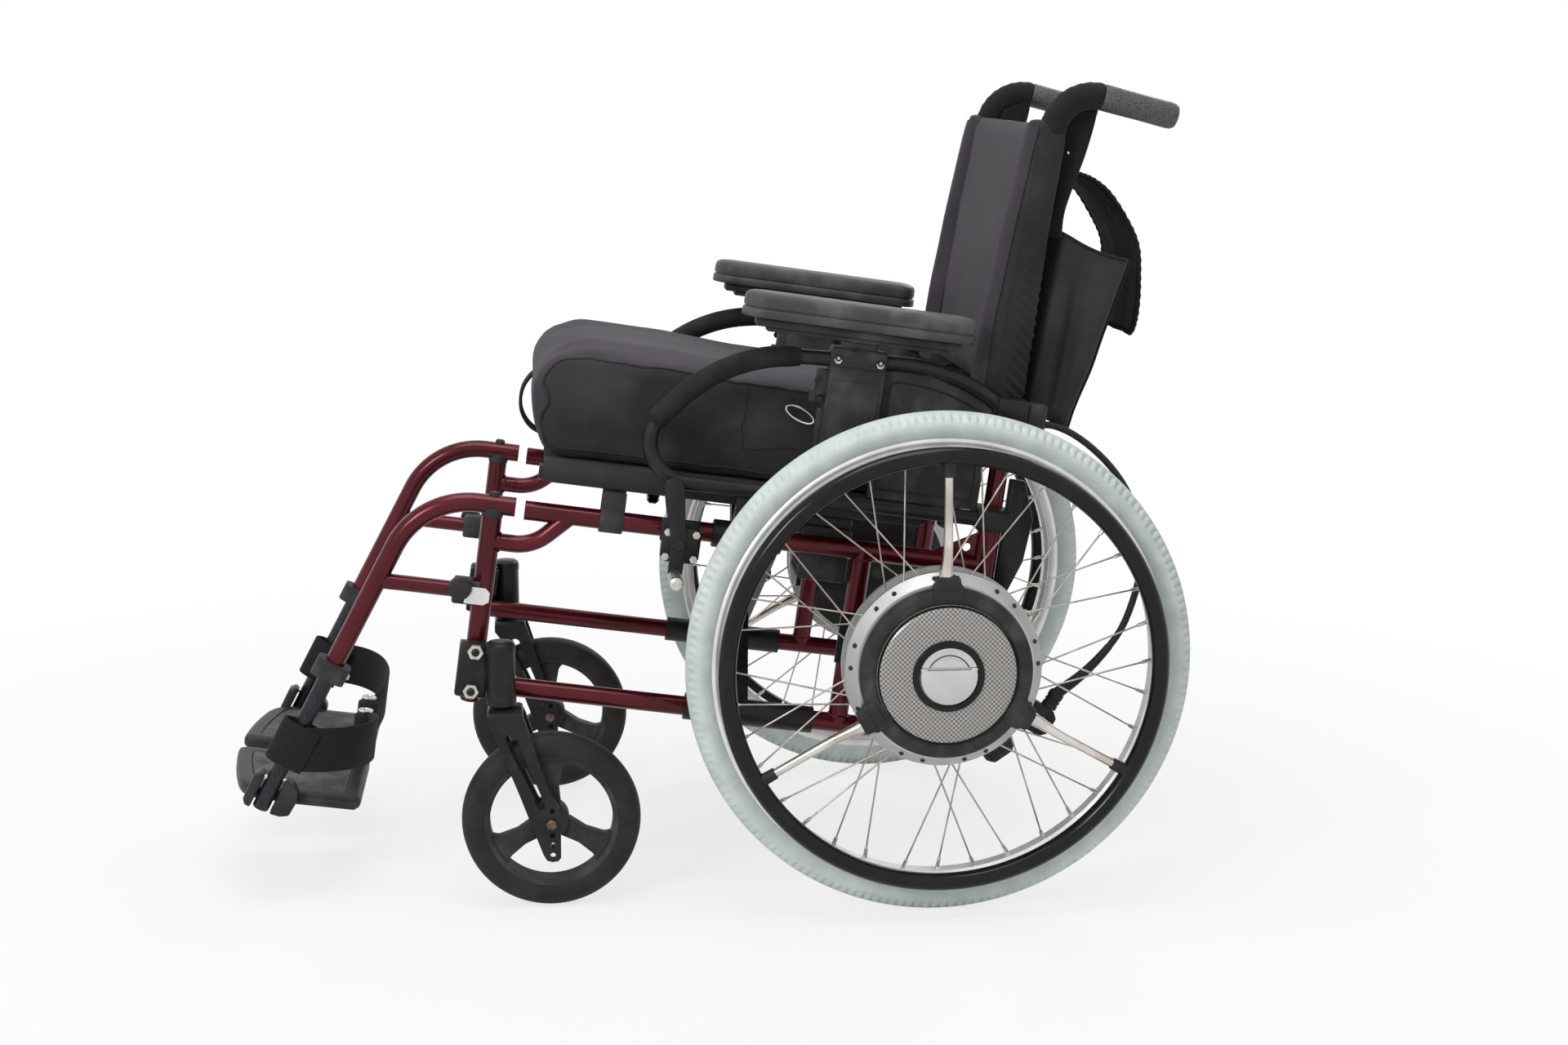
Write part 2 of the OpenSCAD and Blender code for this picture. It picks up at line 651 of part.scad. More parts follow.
// Fixed motor cover with the axle and the two sockets on its rim
module left_motor_cover() color(black) left_wheel() translate([0, 0, tyre_mid]) {
    rotate_extrude($fn = 96) polygon([[0, motor_in], [motor_r - 30, motor_in], [motor_r, motor_in + 11],
        [motor_r, motor_out], [axle_r, motor_out], [axle_r, boss_face - 2], [0, boss_face - 2]]);
    axle_in = frame_y + upright_d / 2 + 1 - tyre_mid;
    translate([0, 0, axle_in]) cylinder(h = motor_in + 1 - axle_in, r = axle_r);
    rotate([0, 0, -socket_turn])
        block([motor_r - socket_root, -socket_w / 2, motor_in + 12],
            [socket_reach, socket_w / 2, motor_out - 4]);
    rotate([0, 0, -socket_turn - second_turn])
        block([motor_r - socket_root, -second_w / 2, motor_in + 12],
            [second_reach, second_w / 2, motor_out - 4]);
}
module right_motor_cover() right() left_motor_cover();

// Axle plate across the two rear uprights, with the axle's boss
module left_axle_plate() color(steel) left_side() difference() {
    union() {
        block([mid_u - 16, axle_v - 30, upright_d / 2 + fit], [rear_u + 16, axle_v + 30, upright_d / 2 + 6]);
        translate([axle_u, axle_v, upright_d / 2 + fit])
            cylinder(h = tyre_mid + motor_in - frame_y - upright_d / 2 - 2 * fit, r = 22);
    }
    translate([axle_u, axle_v, 0]) cylinder(h = 100, r = axle_r + 0.15);
    for (k = [-1, 1]) translate([(mid_u + axle_u) / 2 - 4, axle_v + 16 * k, 0]) cylinder(h = 30, r = 6);
}
module right_axle_plate() right() left_axle_plate();

nose_c = [nose_u, hoop_low + nose_r];
nose_end = nose_c + nose_r * [-sin(nose_turn), -cos(nose_turn)];
brow_head = 180 - nose_turn;
brow_c0 = [sin(brow_head), -cos(brow_head)] * brow_r;
brow_len = 24;
brow_start = nose_end + brow_len * [cos(brow_head), sin(brow_head)];
brow_c = brow_start + brow_c0;
brow_stop = brow_c + brow_r * [-sin(brow_end), cos(brow_end)];
top_stop = [brow_u, brow_stop.y + (brow_u - brow_stop.x) * tan(brow_end)];
tail_c = top_stop + tail_r * [sin(brow_end), -cos(brow_end)];
tail_stop = tail_c + tail_r * [sin(tail_end), cos(tail_end)];
hoop_end = tail_stop + 10 * [cos(tail_end), -sin(tail_end)];

function out(p) = [p.x, p.y, hoop_out];

// The hoop's bent tube, at any diameter
module hoop(d) {
    tube([nose_u, hoop_low, hoop_out], [rear_u - 8, hoop_low, hoop_out], d);
    bend(out(nose_c), nose_r, 270 - nose_turn, 270, d);
    tube(out(nose_end), out(brow_start), d);
    bend(out(brow_c), brow_r, 90 + brow_end, 90 + brow_head, d);
    tube(out(brow_stop), out(top_stop), d);
    bend(out(tail_c), tail_r, 90 - tail_end, 90 + brow_end, d);
    tube(out(tail_stop), out(hoop_end), d);
}

clamp_rear = rear_u + 16;
sleeve_u = 250;
hoop_sleeve_len = 80;
hoop_sleeve_d = tube_d + 10;

// Armrest hoop with the height-adjust box, its rear clamps on the cane and its front sleeve on the seat tube
module left_armrest_frame() color(black) left_side() difference() {
    union() {
        hoop(hoop_d);
        block([box_u, box_low, box_in], [box_u + box_len, box_top, box_out]);
        block([rear_u - 20, hoop_end.y - 15, -14], [clamp_rear, hoop_end.y + 13, hoop_out + 11]);
        block([rear_u - 24, receiver_h + 2, -14], [clamp_rear, hoop_low + 12, hoop_out + 11]);
        tube([sleeve_u, 0, 0], [sleeve_u + hoop_sleeve_len, 0, 0], hoop_sleeve_d);
        block([sleeve_u + 20, -6, 13.2], [sleeve_u + 60, hoop_low - 4, 22]);
        translate([0, 0, -6]) linear_extrude(12) polygon([[clamp_rear - 1, 104], [clamp_rear + 16, 104],
            [clamp_rear + 32, 60], [clamp_rear + 28, 10], [clamp_rear + 14, -30], [clamp_rear - 1, -24]]);
        block([clamp_rear - 1, hoop_end.y - 20, 6], [clamp_rear + 22, hoop_end.y + 10, 34]);
    }
    tube([rear_u, 0, 0], [rear_u, cane_top, 0], cane_d + 2 * fit);
    tube([sleeve_u - 10, 0, 0], [sleeve_u + hoop_sleeve_len + 10, 0, 0], tube_d + 2 * fit);
    block([post_u0 - 0.3, box_low + 4, hoop_out - post_t / 2 - 0.3],
        [post_u0 + post_len + 0.3, box_top + 1, hoop_out + post_t / 2 + 0.3]);
    for (v = [-8, 66]) bar([clamp_rear + 12, v, -7], [clamp_rear + 14, v + 26, -7], 9, 14);
}
module right_armrest_frame() right() left_armrest_frame();

// Sliding post with the channel under the pad
module left_arm_post() color(black) left_side() {
    block([post_u0, box_low + 4.5, hoop_out - post_t / 2],
        [post_u0 + post_len, pad_v - 5, hoop_out + post_t / 2]);
    block([pad_front + 18, pad_v - 10, hoop_out - 17],
        [pad_front + pad_len - 18, pad_v - fit, hoop_out + 17]);
}
module right_arm_post() right() left_arm_post();

// A flat solid with round ends, along u, standing up v
module lozenge(u0, u1, v0, v1, width) {
    block([u0 + width / 2, v0, hoop_out - width / 2], [u1 - width / 2, v1, hoop_out + width / 2]);
    for (u = [u0 + width / 2, u1 - width / 2])
        translate([u, v0, hoop_out]) rotate([-90, 0, 0]) cylinder(h = v1 - v0, d = width);
}

// Moulded armrest pad with a lip round its base
module left_arm_pad() color(black) left_side() {
    lozenge(pad_front, pad_front + pad_len, pad_v, pad_v + 10, pad_w);
    lozenge(pad_front + 3, pad_front + pad_len - 3, pad_v, pad_v + pad_t, pad_w - 6);
}
module right_arm_pad() right() left_arm_pad();

// Side panel between the height-adjust box and the hoop's rear bend
module left_side_panel() color(black) left_side() difference() {
    front = box_u + box_len + fit;
    rear = rear_u - 24 - fit;
    arc = [for (a = [0:4:28]) tail_c + tail_r * [sin(a), cos(a)]];
    translate([0, 0, hoop_out - 2]) linear_extrude(4)
        polygon(concat([[front, hoop_low], [front, top_stop.y]], arc,
            [[rear, tail_stop.y - 6], [rear, hoop_low]]));
    hoop(hoop_d + 2 * fit);
}
module right_side_panel() right() left_side_panel();

lock_v = -8;
lock_pin_r = 5;
lock_face = 50;
lever_gap = 3.6;
shoe_drop = 36;
shoe_r = 8;
shoe_gap = 17.2;
shoe_rise = axle_drop + lock_v - shoe_drop;
lock_u = axle_u - sqrt(pow(wheel_r + shoe_r + shoe_gap, 2) - pow(shoe_rise, 2));

// Wheel lock bracket clamped on the seat tube
module left_wheel_lock_bracket() color(black) left_side() difference() {
    union() {
        block([lock_u - 19, -13, 4], [lock_u + 25, 13, 18]);
        block([lock_u - 13, -8, 14], [lock_u + 19, 4, lock_face - 5]);
        block([lock_u - 19, -30, lock_face - 6], [lock_u + 25, 10, lock_face]);
    }
    tube([lock_u - 30, 0, 0], [lock_u + 30, 0, 0], tube_d + 2 * fit);
    translate([lock_u, lock_v, lock_face - 16]) cylinder(h = 20, r = lock_pin_r + run);
}
module right_wheel_lock_bracket() right() left_wheel_lock_bracket();

// Wheel lock lever with its paddle, pivot pin and the shoe bar that presses on the tyre
module left_wheel_lock_lever() color(black) left_side() {
    translate([lock_u, lock_v, lock_face - 14]) cylinder(h = 18 + lever_gap, r = lock_pin_r);
    translate([lock_u, lock_v, lock_face + 0.3]) cylinder(h = lever_gap + 2, r = 8);
    translate([0, 0, lock_face + lever_gap]) {
        translate([lock_u, lock_v, 0]) cylinder(h = 6, r = 12);
        bar([lock_u, lock_v, 0], [lock_u, lock_v - shoe_drop, 0], 16, 6);
        bar([lock_u, lock_v, 0], [lock_u - 6, lock_v + 34, 0], 14, 6);
        bar([lock_u - 6, lock_v + 30, 0], [lock_u - 13, lock_v + 74, 0], 22, 6);
        translate([lock_u, lock_v - shoe_drop, 0])
            cylinder(h = tyre_mid - frame_y - lock_face + 9, r = shoe_r);
    }
}
module right_wheel_lock_lever() right() left_wheel_lock_lever();

// A bolt head standing on a face at height z
module bolt_head(u, v, z, r, h) translate([u, v, z + run]) cylinder(h = h, r = r, $fn = 6);

// Zinc bolts of one side: castor bracket, axle plate, wheel lock and armrest box
module left_frame_bolts() color(steel) left_side() {
    for (k = [-1, 1]) {
        bolt_head(0, bracket_v + 23 * k, castor_out - 4, 9, 7);
        for (u = [mid_u, rear_u]) bolt_head(u, axle_v + 19 * k, upright_d / 2 + 6, 7, 6);
        for (u = [lock_u - 13, lock_u + 19]) bolt_head(u, k < 0 ? -24 : 4, lock_face, 4.5, 3);
        bolt_head(box_u + box_len / 2 + k * 24, box_top - 14, box_out, 4.5, 3);
    }
}
module right_frame_bolts() right() left_frame_bolts();

// One arm of the cross brace in the plane across the seat: foot sleeve, bar and seat rail.
// side is -1 when the foot is on the left rail; u0 is the front of the bar
module brace_arm(side, u0) {
    foot = [0, side * frame_y, lower_v];
    difference() {
        union() {
            tube(foot + [arm_u - sleeve_len / 2, 0, 0], foot + [arm_u + sleeve_len / 2, 0, 0], 2 * sleeve_r);
            translate(foot + [u0, 0, 0]) rotate([side * -arm_angle, 0, 0])
                translate([0, side < 0 ? 0 : -arm_len + 8, -arm_t / 2]) cube([arm_w, arm_len - 8, arm_t]);
            tube([rail_u, -side * frame_y, rail_v], [rail_u + rail_len, -side * frame_y, rail_v], rail_d);
        }
        tube(foot + [arm_u - sleeve_len, 0, 0], foot + [arm_u + sleeve_len, 0, 0], tube_d + 2 * run);
    }
}

stud_v = (rail_v - lower_drop) / 2;

// Cross arm with its foot on the left rail, the right seat rail and the centre stud
module cross_arm_a() color(black) seat() {
    brace_arm(-1, arm_u - arm_gap - arm_w);
    tube([arm_u - arm_gap - 2, 0, stud_v], [arm_u + arm_gap + arm_w + 5, 0, stud_v], 2 * stud_r);
}

// Cross arm with its foot on the right rail and the left seat rail
module cross_arm_b() color(black) seat() difference() {
    brace_arm(1, arm_u + arm_gap);
    tube([arm_u, 0, stud_v], [arm_u + 2 * arm_w, 0, stud_v], 2 * (stud_r + run));
}

wrap_gap = 0.3;
wrap_r = rail_d / 2 + wrap_gap + cloth_t;

// Seat sling: a tensioned cloth sheet with a sleeve round each seat rail
module seat_sling() color(fabric) seat() difference() {
    rail_rear = rail_u + rail_len;
    sheet_low = rail_v + wrap_r - cloth_t;
    union() {
        for (s = [-1, 1])
            tube([rail_u + 4, s * frame_y, rail_v], [rail_rear - 4, s * frame_y, rail_v], 2 * wrap_r);
        block([rail_u + 4, -frame_y, sheet_low], [rail_rear - 4, frame_y, rail_v + wrap_r]);
    }
    for (s = [-1, 1])
        tube([0, s * frame_y, rail_v], [rear_u, s * frame_y, rail_v], rail_d + 2 * wrap_gap);
    block([arm_u - arm_gap - arm_w - 2, frame_y - 40, 0],
        [arm_u - arm_gap + 2, frame_y + 40, sheet_low - 0.2]);
    block([arm_u + arm_gap - 2, -frame_y - 40, 0],
        [arm_u + arm_gap + arm_w + 2, 40 - frame_y, sheet_low - 0.2]);
}

cushion_u = 27;
front_cut = 20;
front_bulge = 4;
cushion_low = rail_v + wrap_r + fit;

// Height of the cushion's top above its edge: crowned, with two shallow leg troughs
function cushion_rise(k, across) = cushion_crown * (1 - pow(abs(across), 2.6)) * (1 - 0.35 * k)
    - 7 * sin(180 * k) * exp(-pow((abs(across) - 0.45) / 0.2, 2));

// One cross-section ring of the cushion; k runs 0 to 1 from front to rear. The front bulges and
// is cut under at its foot
function cushion_ring(k, grow) = let (half = cushion_w / 2 * grow - 4 * sin(180 * k),
    mid = cushion_low + cushion_t / 2, tall = cushion_t / 2 * (0.55 + 0.45 * grow), fore = max(0, 1 - 5 * k))
    [for (a = [5:10:355]) let (c = soft_pow(cos(a), 0.3), s = soft_pow(sin(a), 0.3))
        [cushion_u + cushion_len * k + fore * (front_cut * (s < 0 ? -s : 0.75 * s) - front_bulge * cos(90 * s)),
            half * c * (1 - 0.02 * abs(s)),
            mid + tall * s + (s > 0 ? s * cushion_rise(k, c) * grow : tall - cushion_t / 2)]];

// Seat cushion with a crowned top and drawn-in sides
module seat_cushion() color(fabric) seat()
    loft([for (k = [0:0.05:1.001]) cushion_ring(k, sqrt(1 - 0.3 * pow(abs(2 * k - 1), 14)))]);

back_low = 202;
back_rear = rear_u - 4;
back_taper = 0.42;
back_hollow = 5;

// One ring of the back pad, which thins upward; k runs 0 to 1 from its lower edge to its top
function back_ring(k) = let (grow = sqrt(1 - 0.4 * pow(abs(2 * k - 1), 12)),
    half = back_w / 2 * (0.94 + 0.06 * grow) - 3 * sin(180 * k),
    deep = back_t / 2 * (1 - back_taper * k * sqrt(k)))
    [for (a = [5:10:355]) let (c = soft_pow(cos(a), 0.35), s = soft_pow(sin(a), a < 180 ? 0.2 : 0.35),
        hollow = s < 0 ? back_hollow * sqrt(1 - min(1, abs(c))) : 0)
        [back_rear - deep + deep * (s < 0 ? grow : 1) * s - hollow * s,
            half * c * (1 - 0.05 * max(0, -s)), back_low + back_h * k]];

// Back upholstery: padded front with side bolsters, and sleeves that hold it on the canes
module back_upholstery() color(fabric) seat() difference() {
    union() {
        loft([for (k = [0:0.05:1.001]) back_ring(k)]);
        for (s = [-1, 1])
            tube([rear_u, s * frame_y, back_low + 10], [rear_u, s * frame_y, cane_top - 24],
                cane_d + 2 * (fit + cloth_t));
    }
    for (s = [-1, 1]) tube([rear_u, s * frame_y, 0], [rear_u, s * frame_y, cane_top + 20], cane_d + 2 * fit);
}

bag_half = frame_y - 5;
bag_wall = 3.5;
flap_c = [rear_u + 34, 334];
flap_r = 122;
flap_half = 90;

// A panel of the bag: a side-view outline drawn through part of its width
module bag_panel(outline, low, high) translate([0, high, 0]) rotate([90, 0, 0])
    linear_extrude(high - low) polygon([for (p = outline) [rear_u + p.x, p.y]]);

// Carry bag hung behind the back, with an open pocket, a flap and two straps over the canes' bends
module carry_bag() color(black) seat() {
    difference() {
        bag_panel([[28, 392], [119, 369], [76, 166], [17, 190]], -bag_half, bag_half);
        bag_panel([[32, 410], [115, 410], [114.5, 369], [73, 171], [21, 194]],
            -bag_half + bag_wall, bag_half - bag_wall);
    }
    translate([flap_c.x, 0, flap_c.y]) rotate([90, 0, 0]) rotate([0, 0, -4])
        rotate_extrude(angle = 97) translate([flap_r - 2, -flap_half]) square([4, 2 * flap_half]);
    bag_panel([[152.5, 334], [159, 334], [161, 280], [157, 280]], -flap_half, flap_half);
    bag_panel([[26, 384], [32.5, 384], [32.5, 459.5], [26, 459.5]], -flap_half, flap_half);
    for (s = [-1, 1]) {
        bag_panel([[20, 370], [33, 370], [36, 440], [43, 482], [47, 533], [34, 533], [21, 525],
                [13.3, 513], [14.6, 470]],
            s < 0 ? -bag_half : bag_half - bag_wall, s < 0 ? -bag_half + bag_wall : bag_half);
        translate([0, s * frame_y, 0]) rotate([90, 0, 0]) difference() {
            bend(bend_c, cane_bend_r, 100, 165, cane_d + 2 * (fit + cloth_t) + 1);
            bend(bend_c, cane_bend_r, 90, 180, cane_d + 2 * fit + 0.1);
        }
    }
}

// Battery pack in its holder, inside the left frame
module battery_pack() color(black) left_side() difference() {
    block([mid_u - 70, -44, -78], [mid_u - upright_d / 2 - 1, 34, -tube_d / 2 - fit]);
    block([mid_u - 71, 20, -70], [mid_u - 40, 35, -30]);
}

function lead_point(i) = let (p = lead_route[i]) [axle_x + p.x, p.y, wheel_r + p.z];
function unit(v) = v / norm(v);
function lead_way(i) = unit(lead_point(min(i + 1, len(lead_route) - 1)) - lead_point(max(i - 1, 0)));
function lead_ring(i) = let (t = lead_way(i), n = unit([0, 1, 0] - t.y * t), b = cross(t, n))
    [for (a = [0:45:315]) lead_point(i) + lead_d / 2 * (cos(a) * n + sin(a) * b)];

// Power lead from the socket at the back to its plug on the motor cover
module left_power_lead() color(black) {
    loft([for (i = [len(lead_route) - 1:-1:0]) lead_ring(i)]);
    last = lead_route[len(lead_route) - 1];
    normal = [sin(socket_turn), 0, cos(socket_turn)];
    rise = last * normal - socket_w / 2 - fit;
    translate([axle_x, 0, wheel_r]) tube(last - rise * normal, last + 3 * normal, 2 * plug_r);
}

left_side_frame();
right_side_frame();
left_back_cane();
right_back_cane();
left_push_grip();
right_push_grip();
left_castor_housing();
right_castor_housing();
left_castor_fork();
right_castor_fork();
left_castor_wheel();
right_castor_wheel();
left_hanger();
right_hanger();
left_footrest_tube();
right_footrest_tube();
left_footplate();
right_footplate();
left_heel_loop();
right_heel_loop();
left_drive_tyre();
right_drive_tyre();
left_drive_rim();
right_drive_rim();
left_wheel_spokes();
right_wheel_spokes();
left_hub_shell();
right_hub_shell();
left_handrim();
right_handrim();
left_hub_cover();
right_hub_cover();
left_release_handle();
right_release_handle();
left_motor_cover();
right_motor_cover();
left_axle_plate();
right_axle_plate();
left_armrest_frame();
right_armrest_frame();
left_arm_post();
right_arm_post();
left_arm_pad();
right_arm_pad();
left_side_panel();
right_side_panel();
left_wheel_lock_bracket();
right_wheel_lock_bracket();
left_wheel_lock_lever();
right_wheel_lock_lever();
left_frame_bolts();
right_frame_bolts();
cross_arm_a();
cross_arm_b();
seat_sling();
seat_cushion();
back_upholstery();
carry_bag();
battery_pack();
left_power_lead();
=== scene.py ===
"""Folding wheelchair with power-assist wheels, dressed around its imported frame."""
import math

import bmesh
import bpy
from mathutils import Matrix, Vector, noise
from mathutils.bvhtree import BVHTree
from mathutils.geometry import tessellate_polygon


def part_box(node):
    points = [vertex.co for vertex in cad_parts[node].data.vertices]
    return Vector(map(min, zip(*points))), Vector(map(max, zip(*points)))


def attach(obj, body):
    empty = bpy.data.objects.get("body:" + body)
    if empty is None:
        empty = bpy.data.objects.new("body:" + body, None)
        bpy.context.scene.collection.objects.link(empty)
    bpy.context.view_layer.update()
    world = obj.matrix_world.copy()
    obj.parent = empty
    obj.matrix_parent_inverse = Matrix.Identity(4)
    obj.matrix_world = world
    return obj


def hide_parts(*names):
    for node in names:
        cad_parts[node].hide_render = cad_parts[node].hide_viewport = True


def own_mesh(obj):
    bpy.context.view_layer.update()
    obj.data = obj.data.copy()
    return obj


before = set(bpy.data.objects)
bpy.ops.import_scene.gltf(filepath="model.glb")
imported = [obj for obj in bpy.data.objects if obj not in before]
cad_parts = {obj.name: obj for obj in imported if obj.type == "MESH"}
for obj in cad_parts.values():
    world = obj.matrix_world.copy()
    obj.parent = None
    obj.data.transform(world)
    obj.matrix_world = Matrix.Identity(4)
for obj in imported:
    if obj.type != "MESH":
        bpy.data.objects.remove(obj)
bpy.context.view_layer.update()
scene = bpy.context.scene
scene.view_settings.view_transform = "Standard"

# Camera: it stands at the chair's left side, a little ahead of the wheel's axle and at
# about chest height, and looks slightly down and to the rear.
tyre_low, tyre_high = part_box("left_drive_tyre")
AXLE = Vector(((tyre_low[0] + tyre_high[0]) / 2, 0, (tyre_low[2] + tyre_high[2]) / 2))
camera = bpy.data.objects.new("camera", bpy.data.cameras.new("camera"))
camera.data.sensor_width = 36
camera.data.lens = 53.69
camera.location = AXLE + Vector((-0.43525, -2.81102, 0.64533))
camera.rotation_euler = Vector((0.1003, 0.9774, -0.1861)).to_track_quat("-Z", "Y").to_euler()
bpy.context.collection.objects.link(camera)
scene.camera = camera

# Studio: a pale floor that shows white and keeps the chair's soft shadow, a white world behind
# it, one broad lamp above, one in front and a weaker one behind.


class Wire:
    """A shader socket that Python's operators work on, with one method for every other node."""

    def __init__(self, socket):
        self.socket = socket

    def node(self, kind, settings, feeds, out=0):
        """Adds a node, applies its settings, feeds its sockets and gives one of its outputs."""
        tree = self.socket.id_data
        made = tree.nodes.new("ShaderNode" + kind)
        for key, value in settings.items():
            setattr(made, key, value)
        for key, value in feeds.items():
            if isinstance(value, Wire):
                tree.links.new(value.socket, made.inputs[key])
            else:
                made.inputs[key].default_value = value
        return Wire(made.outputs[out])

    def maths(self, operation, first, second=0.0):
        return self.node("Math", {"operation": operation}, {0: first, 1: second})

    def __add__(self, other):
        return self.maths("ADD", self, other)

    def __sub__(self, other):
        return self.maths("SUBTRACT", self, other)

    def __rsub__(self, other):
        return self.maths("SUBTRACT", other, self)

    def __mul__(self, other):
        return self.maths("MULTIPLY", self, other)

    __radd__ = __add__
    __rmul__ = __mul__

    def grain(self, scale, detail=2.0):
        """Noise at so many lumps to the metre."""
        return self.node("TexNoise", {}, {"Vector": self, "Scale": scale, "Detail": detail})

    def step(self, low, high):
        """A soft step from 0 to 1 between two values."""
        return self.node("MapRange", {"interpolation_type": "SMOOTHSTEP"},
                         {"Value": self, "From Min": low, "From Max": high})

    def colours(self, first, second):
        """A colour that goes from the first to the second with this value."""
        return self.node("Mix", {"data_type": "RGBA"},
                         {0: self, 6: tuple(first) + (1,), 7: tuple(second) + (1,)}, 2)

    def along(self, axis):
        """One coordinate of a vector: 0, 1 or 2."""
        return self.node("SeparateXYZ", {}, {0: self}, axis)

    def waves(self, per_metre):
        """A smooth wave along a coordinate."""
        return self.maths("SINE", self * (2 * math.pi * per_metre))


def shown(tree):
    """1 for the rays that show the backdrop itself, 0 for those that only light the chair."""
    rays = tree.nodes.new("ShaderNodeLightPath").outputs
    seen = Wire(rays["Is Camera Ray"]) + Wire(rays["Is Glossy Ray"])
    return (seen + Wire(rays["Is Transmission Ray"])).step(0, 1)


world = bpy.data.worlds.new("studio")
world.use_nodes = True
scene.world = world
sky = world.node_tree
shows = shown(sky)
lit = shows.node("Background", {}, {"Color": (1, 1, 1, 1), "Strength": 0.5})
white = shows.node("Background", {}, {"Color": (1, 1, 1, 1), "Strength": 1.0})
backdrop = shows.node("MixShader", {}, {0: shows, 1: lit, 2: white})
sky.links.new(backdrop.socket, sky.nodes["World Output"].inputs["Surface"])

floor_mesh = bpy.data.meshes.new("floor")
floor_mesh.from_pydata([(-9, -9, 0), (9, -9, 0), (9, 9, 0), (-9, 9, 0)], [], [(0, 1, 2, 3)])
floor = bpy.data.objects.new("floor", floor_mesh)
bpy.context.collection.objects.link(floor)
floor_paint = bpy.data.materials.new("pale_floor")
floor_paint.use_nodes = True
tree = floor_paint.node_tree
shows = shown(tree)
matte = shows.node("BsdfDiffuse", {}, {"Color": (0.86, 0.86, 0.86, 1)})
glow = shows.node("Emission", {}, {"Color": (1, 1, 1, 1), "Strength": 1.0})
spot = Wire(tree.nodes.new("ShaderNodeTexCoord").outputs["Object"])
far = spot.node("VectorMath", {"operation": "LENGTH"}, {0: spot}, 1).step(0.7, 1.8)
blended = shows.node("MixShader", {}, {0: shows * (0.74 + 0.26 * far), 1: matte, 2: glow})
tree.links.new(blended.socket, tree.nodes["Material Output"].inputs["Surface"])
floor_mesh.materials.append(floor_paint)

for lamp_name, at, size, power in (("lamp_above", (-0.2, -0.5, 3.1), 1.8, 36),
                                   ("lamp_front", (-1.9, -2.6, 1.9), 0.9, 36),
                                   ("lamp_behind", (1.7, 2.3, 2.0), 1.2, 26)):
    lamp = bpy.data.objects.new(lamp_name, bpy.data.lights.new(lamp_name, "AREA"))
    lamp.data.size = size
    lamp.data.energy = power
    lamp.location = at
    lamp.rotation_euler = (Vector((0, 0, 0.4)) - Vector(at)).to_track_quat("-Z", "Y").to_euler()
    bpy.context.collection.objects.link(lamp)

# Power lead: a black rubber cable that leaves the socket at the left cane, hangs in one curve
# behind the tyre and ends in a plug on the motor cover. The photograph shows it end to end.
MM = 0.001
lead_route = [(128, -216, 259), (142, -217, 257), (162, -219, 248), (184, -222, 232), (206, -224, 210),
              (224, -226, 184), (236, -228, 154), (242, -230, 120), (241, -232, 86), (233, -234, 54),
              (219, -238, 22), (197, -243, -5), (170, -251, -28), (141, -259, -46)]


def eased(points, per_span):
    """A smooth line through the points, with so many steps between each two of them."""
    points = [Vector(p) for p in points]
    ends = [2 * points[0] - points[1]] + points + [2 * points[-1] - points[-2]]
    line = []
    for a, b, c, d in zip(ends, ends[1:], ends[2:], ends[3:]):
        for k in range(per_span):
            t = k / per_span
            line.append(b + 0.5 * t * (c - a + t * (2 * a - 5 * b + 4 * c - d + t * (3 * b - a - 3 * c + d))))
    return line + [points[-1]]


def surface(name, paint, fixed):
    """A material: paint(place) gives what changes over the surface, fixed what is the same all over."""
    material = bpy.data.materials.new(name)
    material.use_nodes = True
    tree = material.node_tree
    shader = tree.nodes["Principled BSDF"]
    for socket, value in fixed.items():
        shader.inputs[socket].default_value = value
    place = Wire(tree.nodes.new("ShaderNodeTexCoord").outputs["Object"])
    for socket, value in paint(place).items():
        if socket == "Bump":
            height, strength, depth = value
            value = height.node("Bump", {}, {"Strength": strength, "Distance": depth, "Height": height})
            socket = "Normal"
        tree.links.new(value.socket, shader.inputs[socket])
    return material


def rubber(place):
    dust = place.grain(60, 4)
    return {"Base Color": dust.step(0.4, 0.75).colours((0.012, 0.012, 0.013), (0.026, 0.026, 0.027)),
            "Roughness": 0.42 + 0.25 * dust, "Bump": (place.grain(900, 2), 0.25, 0.0004)}


black_rubber = surface("black_rubber", rubber, {"Specular IOR Level": 0.3})
lead_line = [AXLE + MM * p for p in eased(lead_route, 3)]
lead_curve = bpy.data.curves.new("power_lead", "CURVE")
lead_curve.dimensions = "3D"
lead_curve.bevel_depth = 4 * MM
lead_curve.bevel_resolution = 5
lead_curve.use_fill_caps = True
lead_spline = lead_curve.splines.new("POLY")
lead_spline.points.add(len(lead_line) - 1)
for point, place in zip(lead_spline.points, lead_line):
    point.co = (*place, 1)
power_lead = bpy.data.objects.new("power_lead", lead_curve)
bpy.context.collection.objects.link(power_lead)
lead_curve.materials.append(black_rubber)
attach(power_lead, "left_frame")


def piece(name, body, finish, shape, sharp=35):
    """Makes a mesh piece from points and faces, rides it on a body and gives it its finish."""
    points, faces = shape
    build = bmesh.new()
    corners = [build.verts.new(p) for p in points]
    for face in faces:
        build.faces.new([corners[k] for k in face])
    bmesh.ops.remove_doubles(build, verts=build.verts, dist=2e-6)
    bmesh.ops.recalc_face_normals(build, faces=build.faces)
    mesh = bpy.data.meshes.new(name)
    build.to_mesh(mesh)
    build.free()
    mesh.shade_smooth()
    mesh.set_sharp_from_angle(angle=math.radians(sharp))
    mesh.materials.append(finish)
    made = bpy.data.objects.new(name, mesh)
    bpy.context.collection.objects.link(made)
    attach(made, body)
    return made


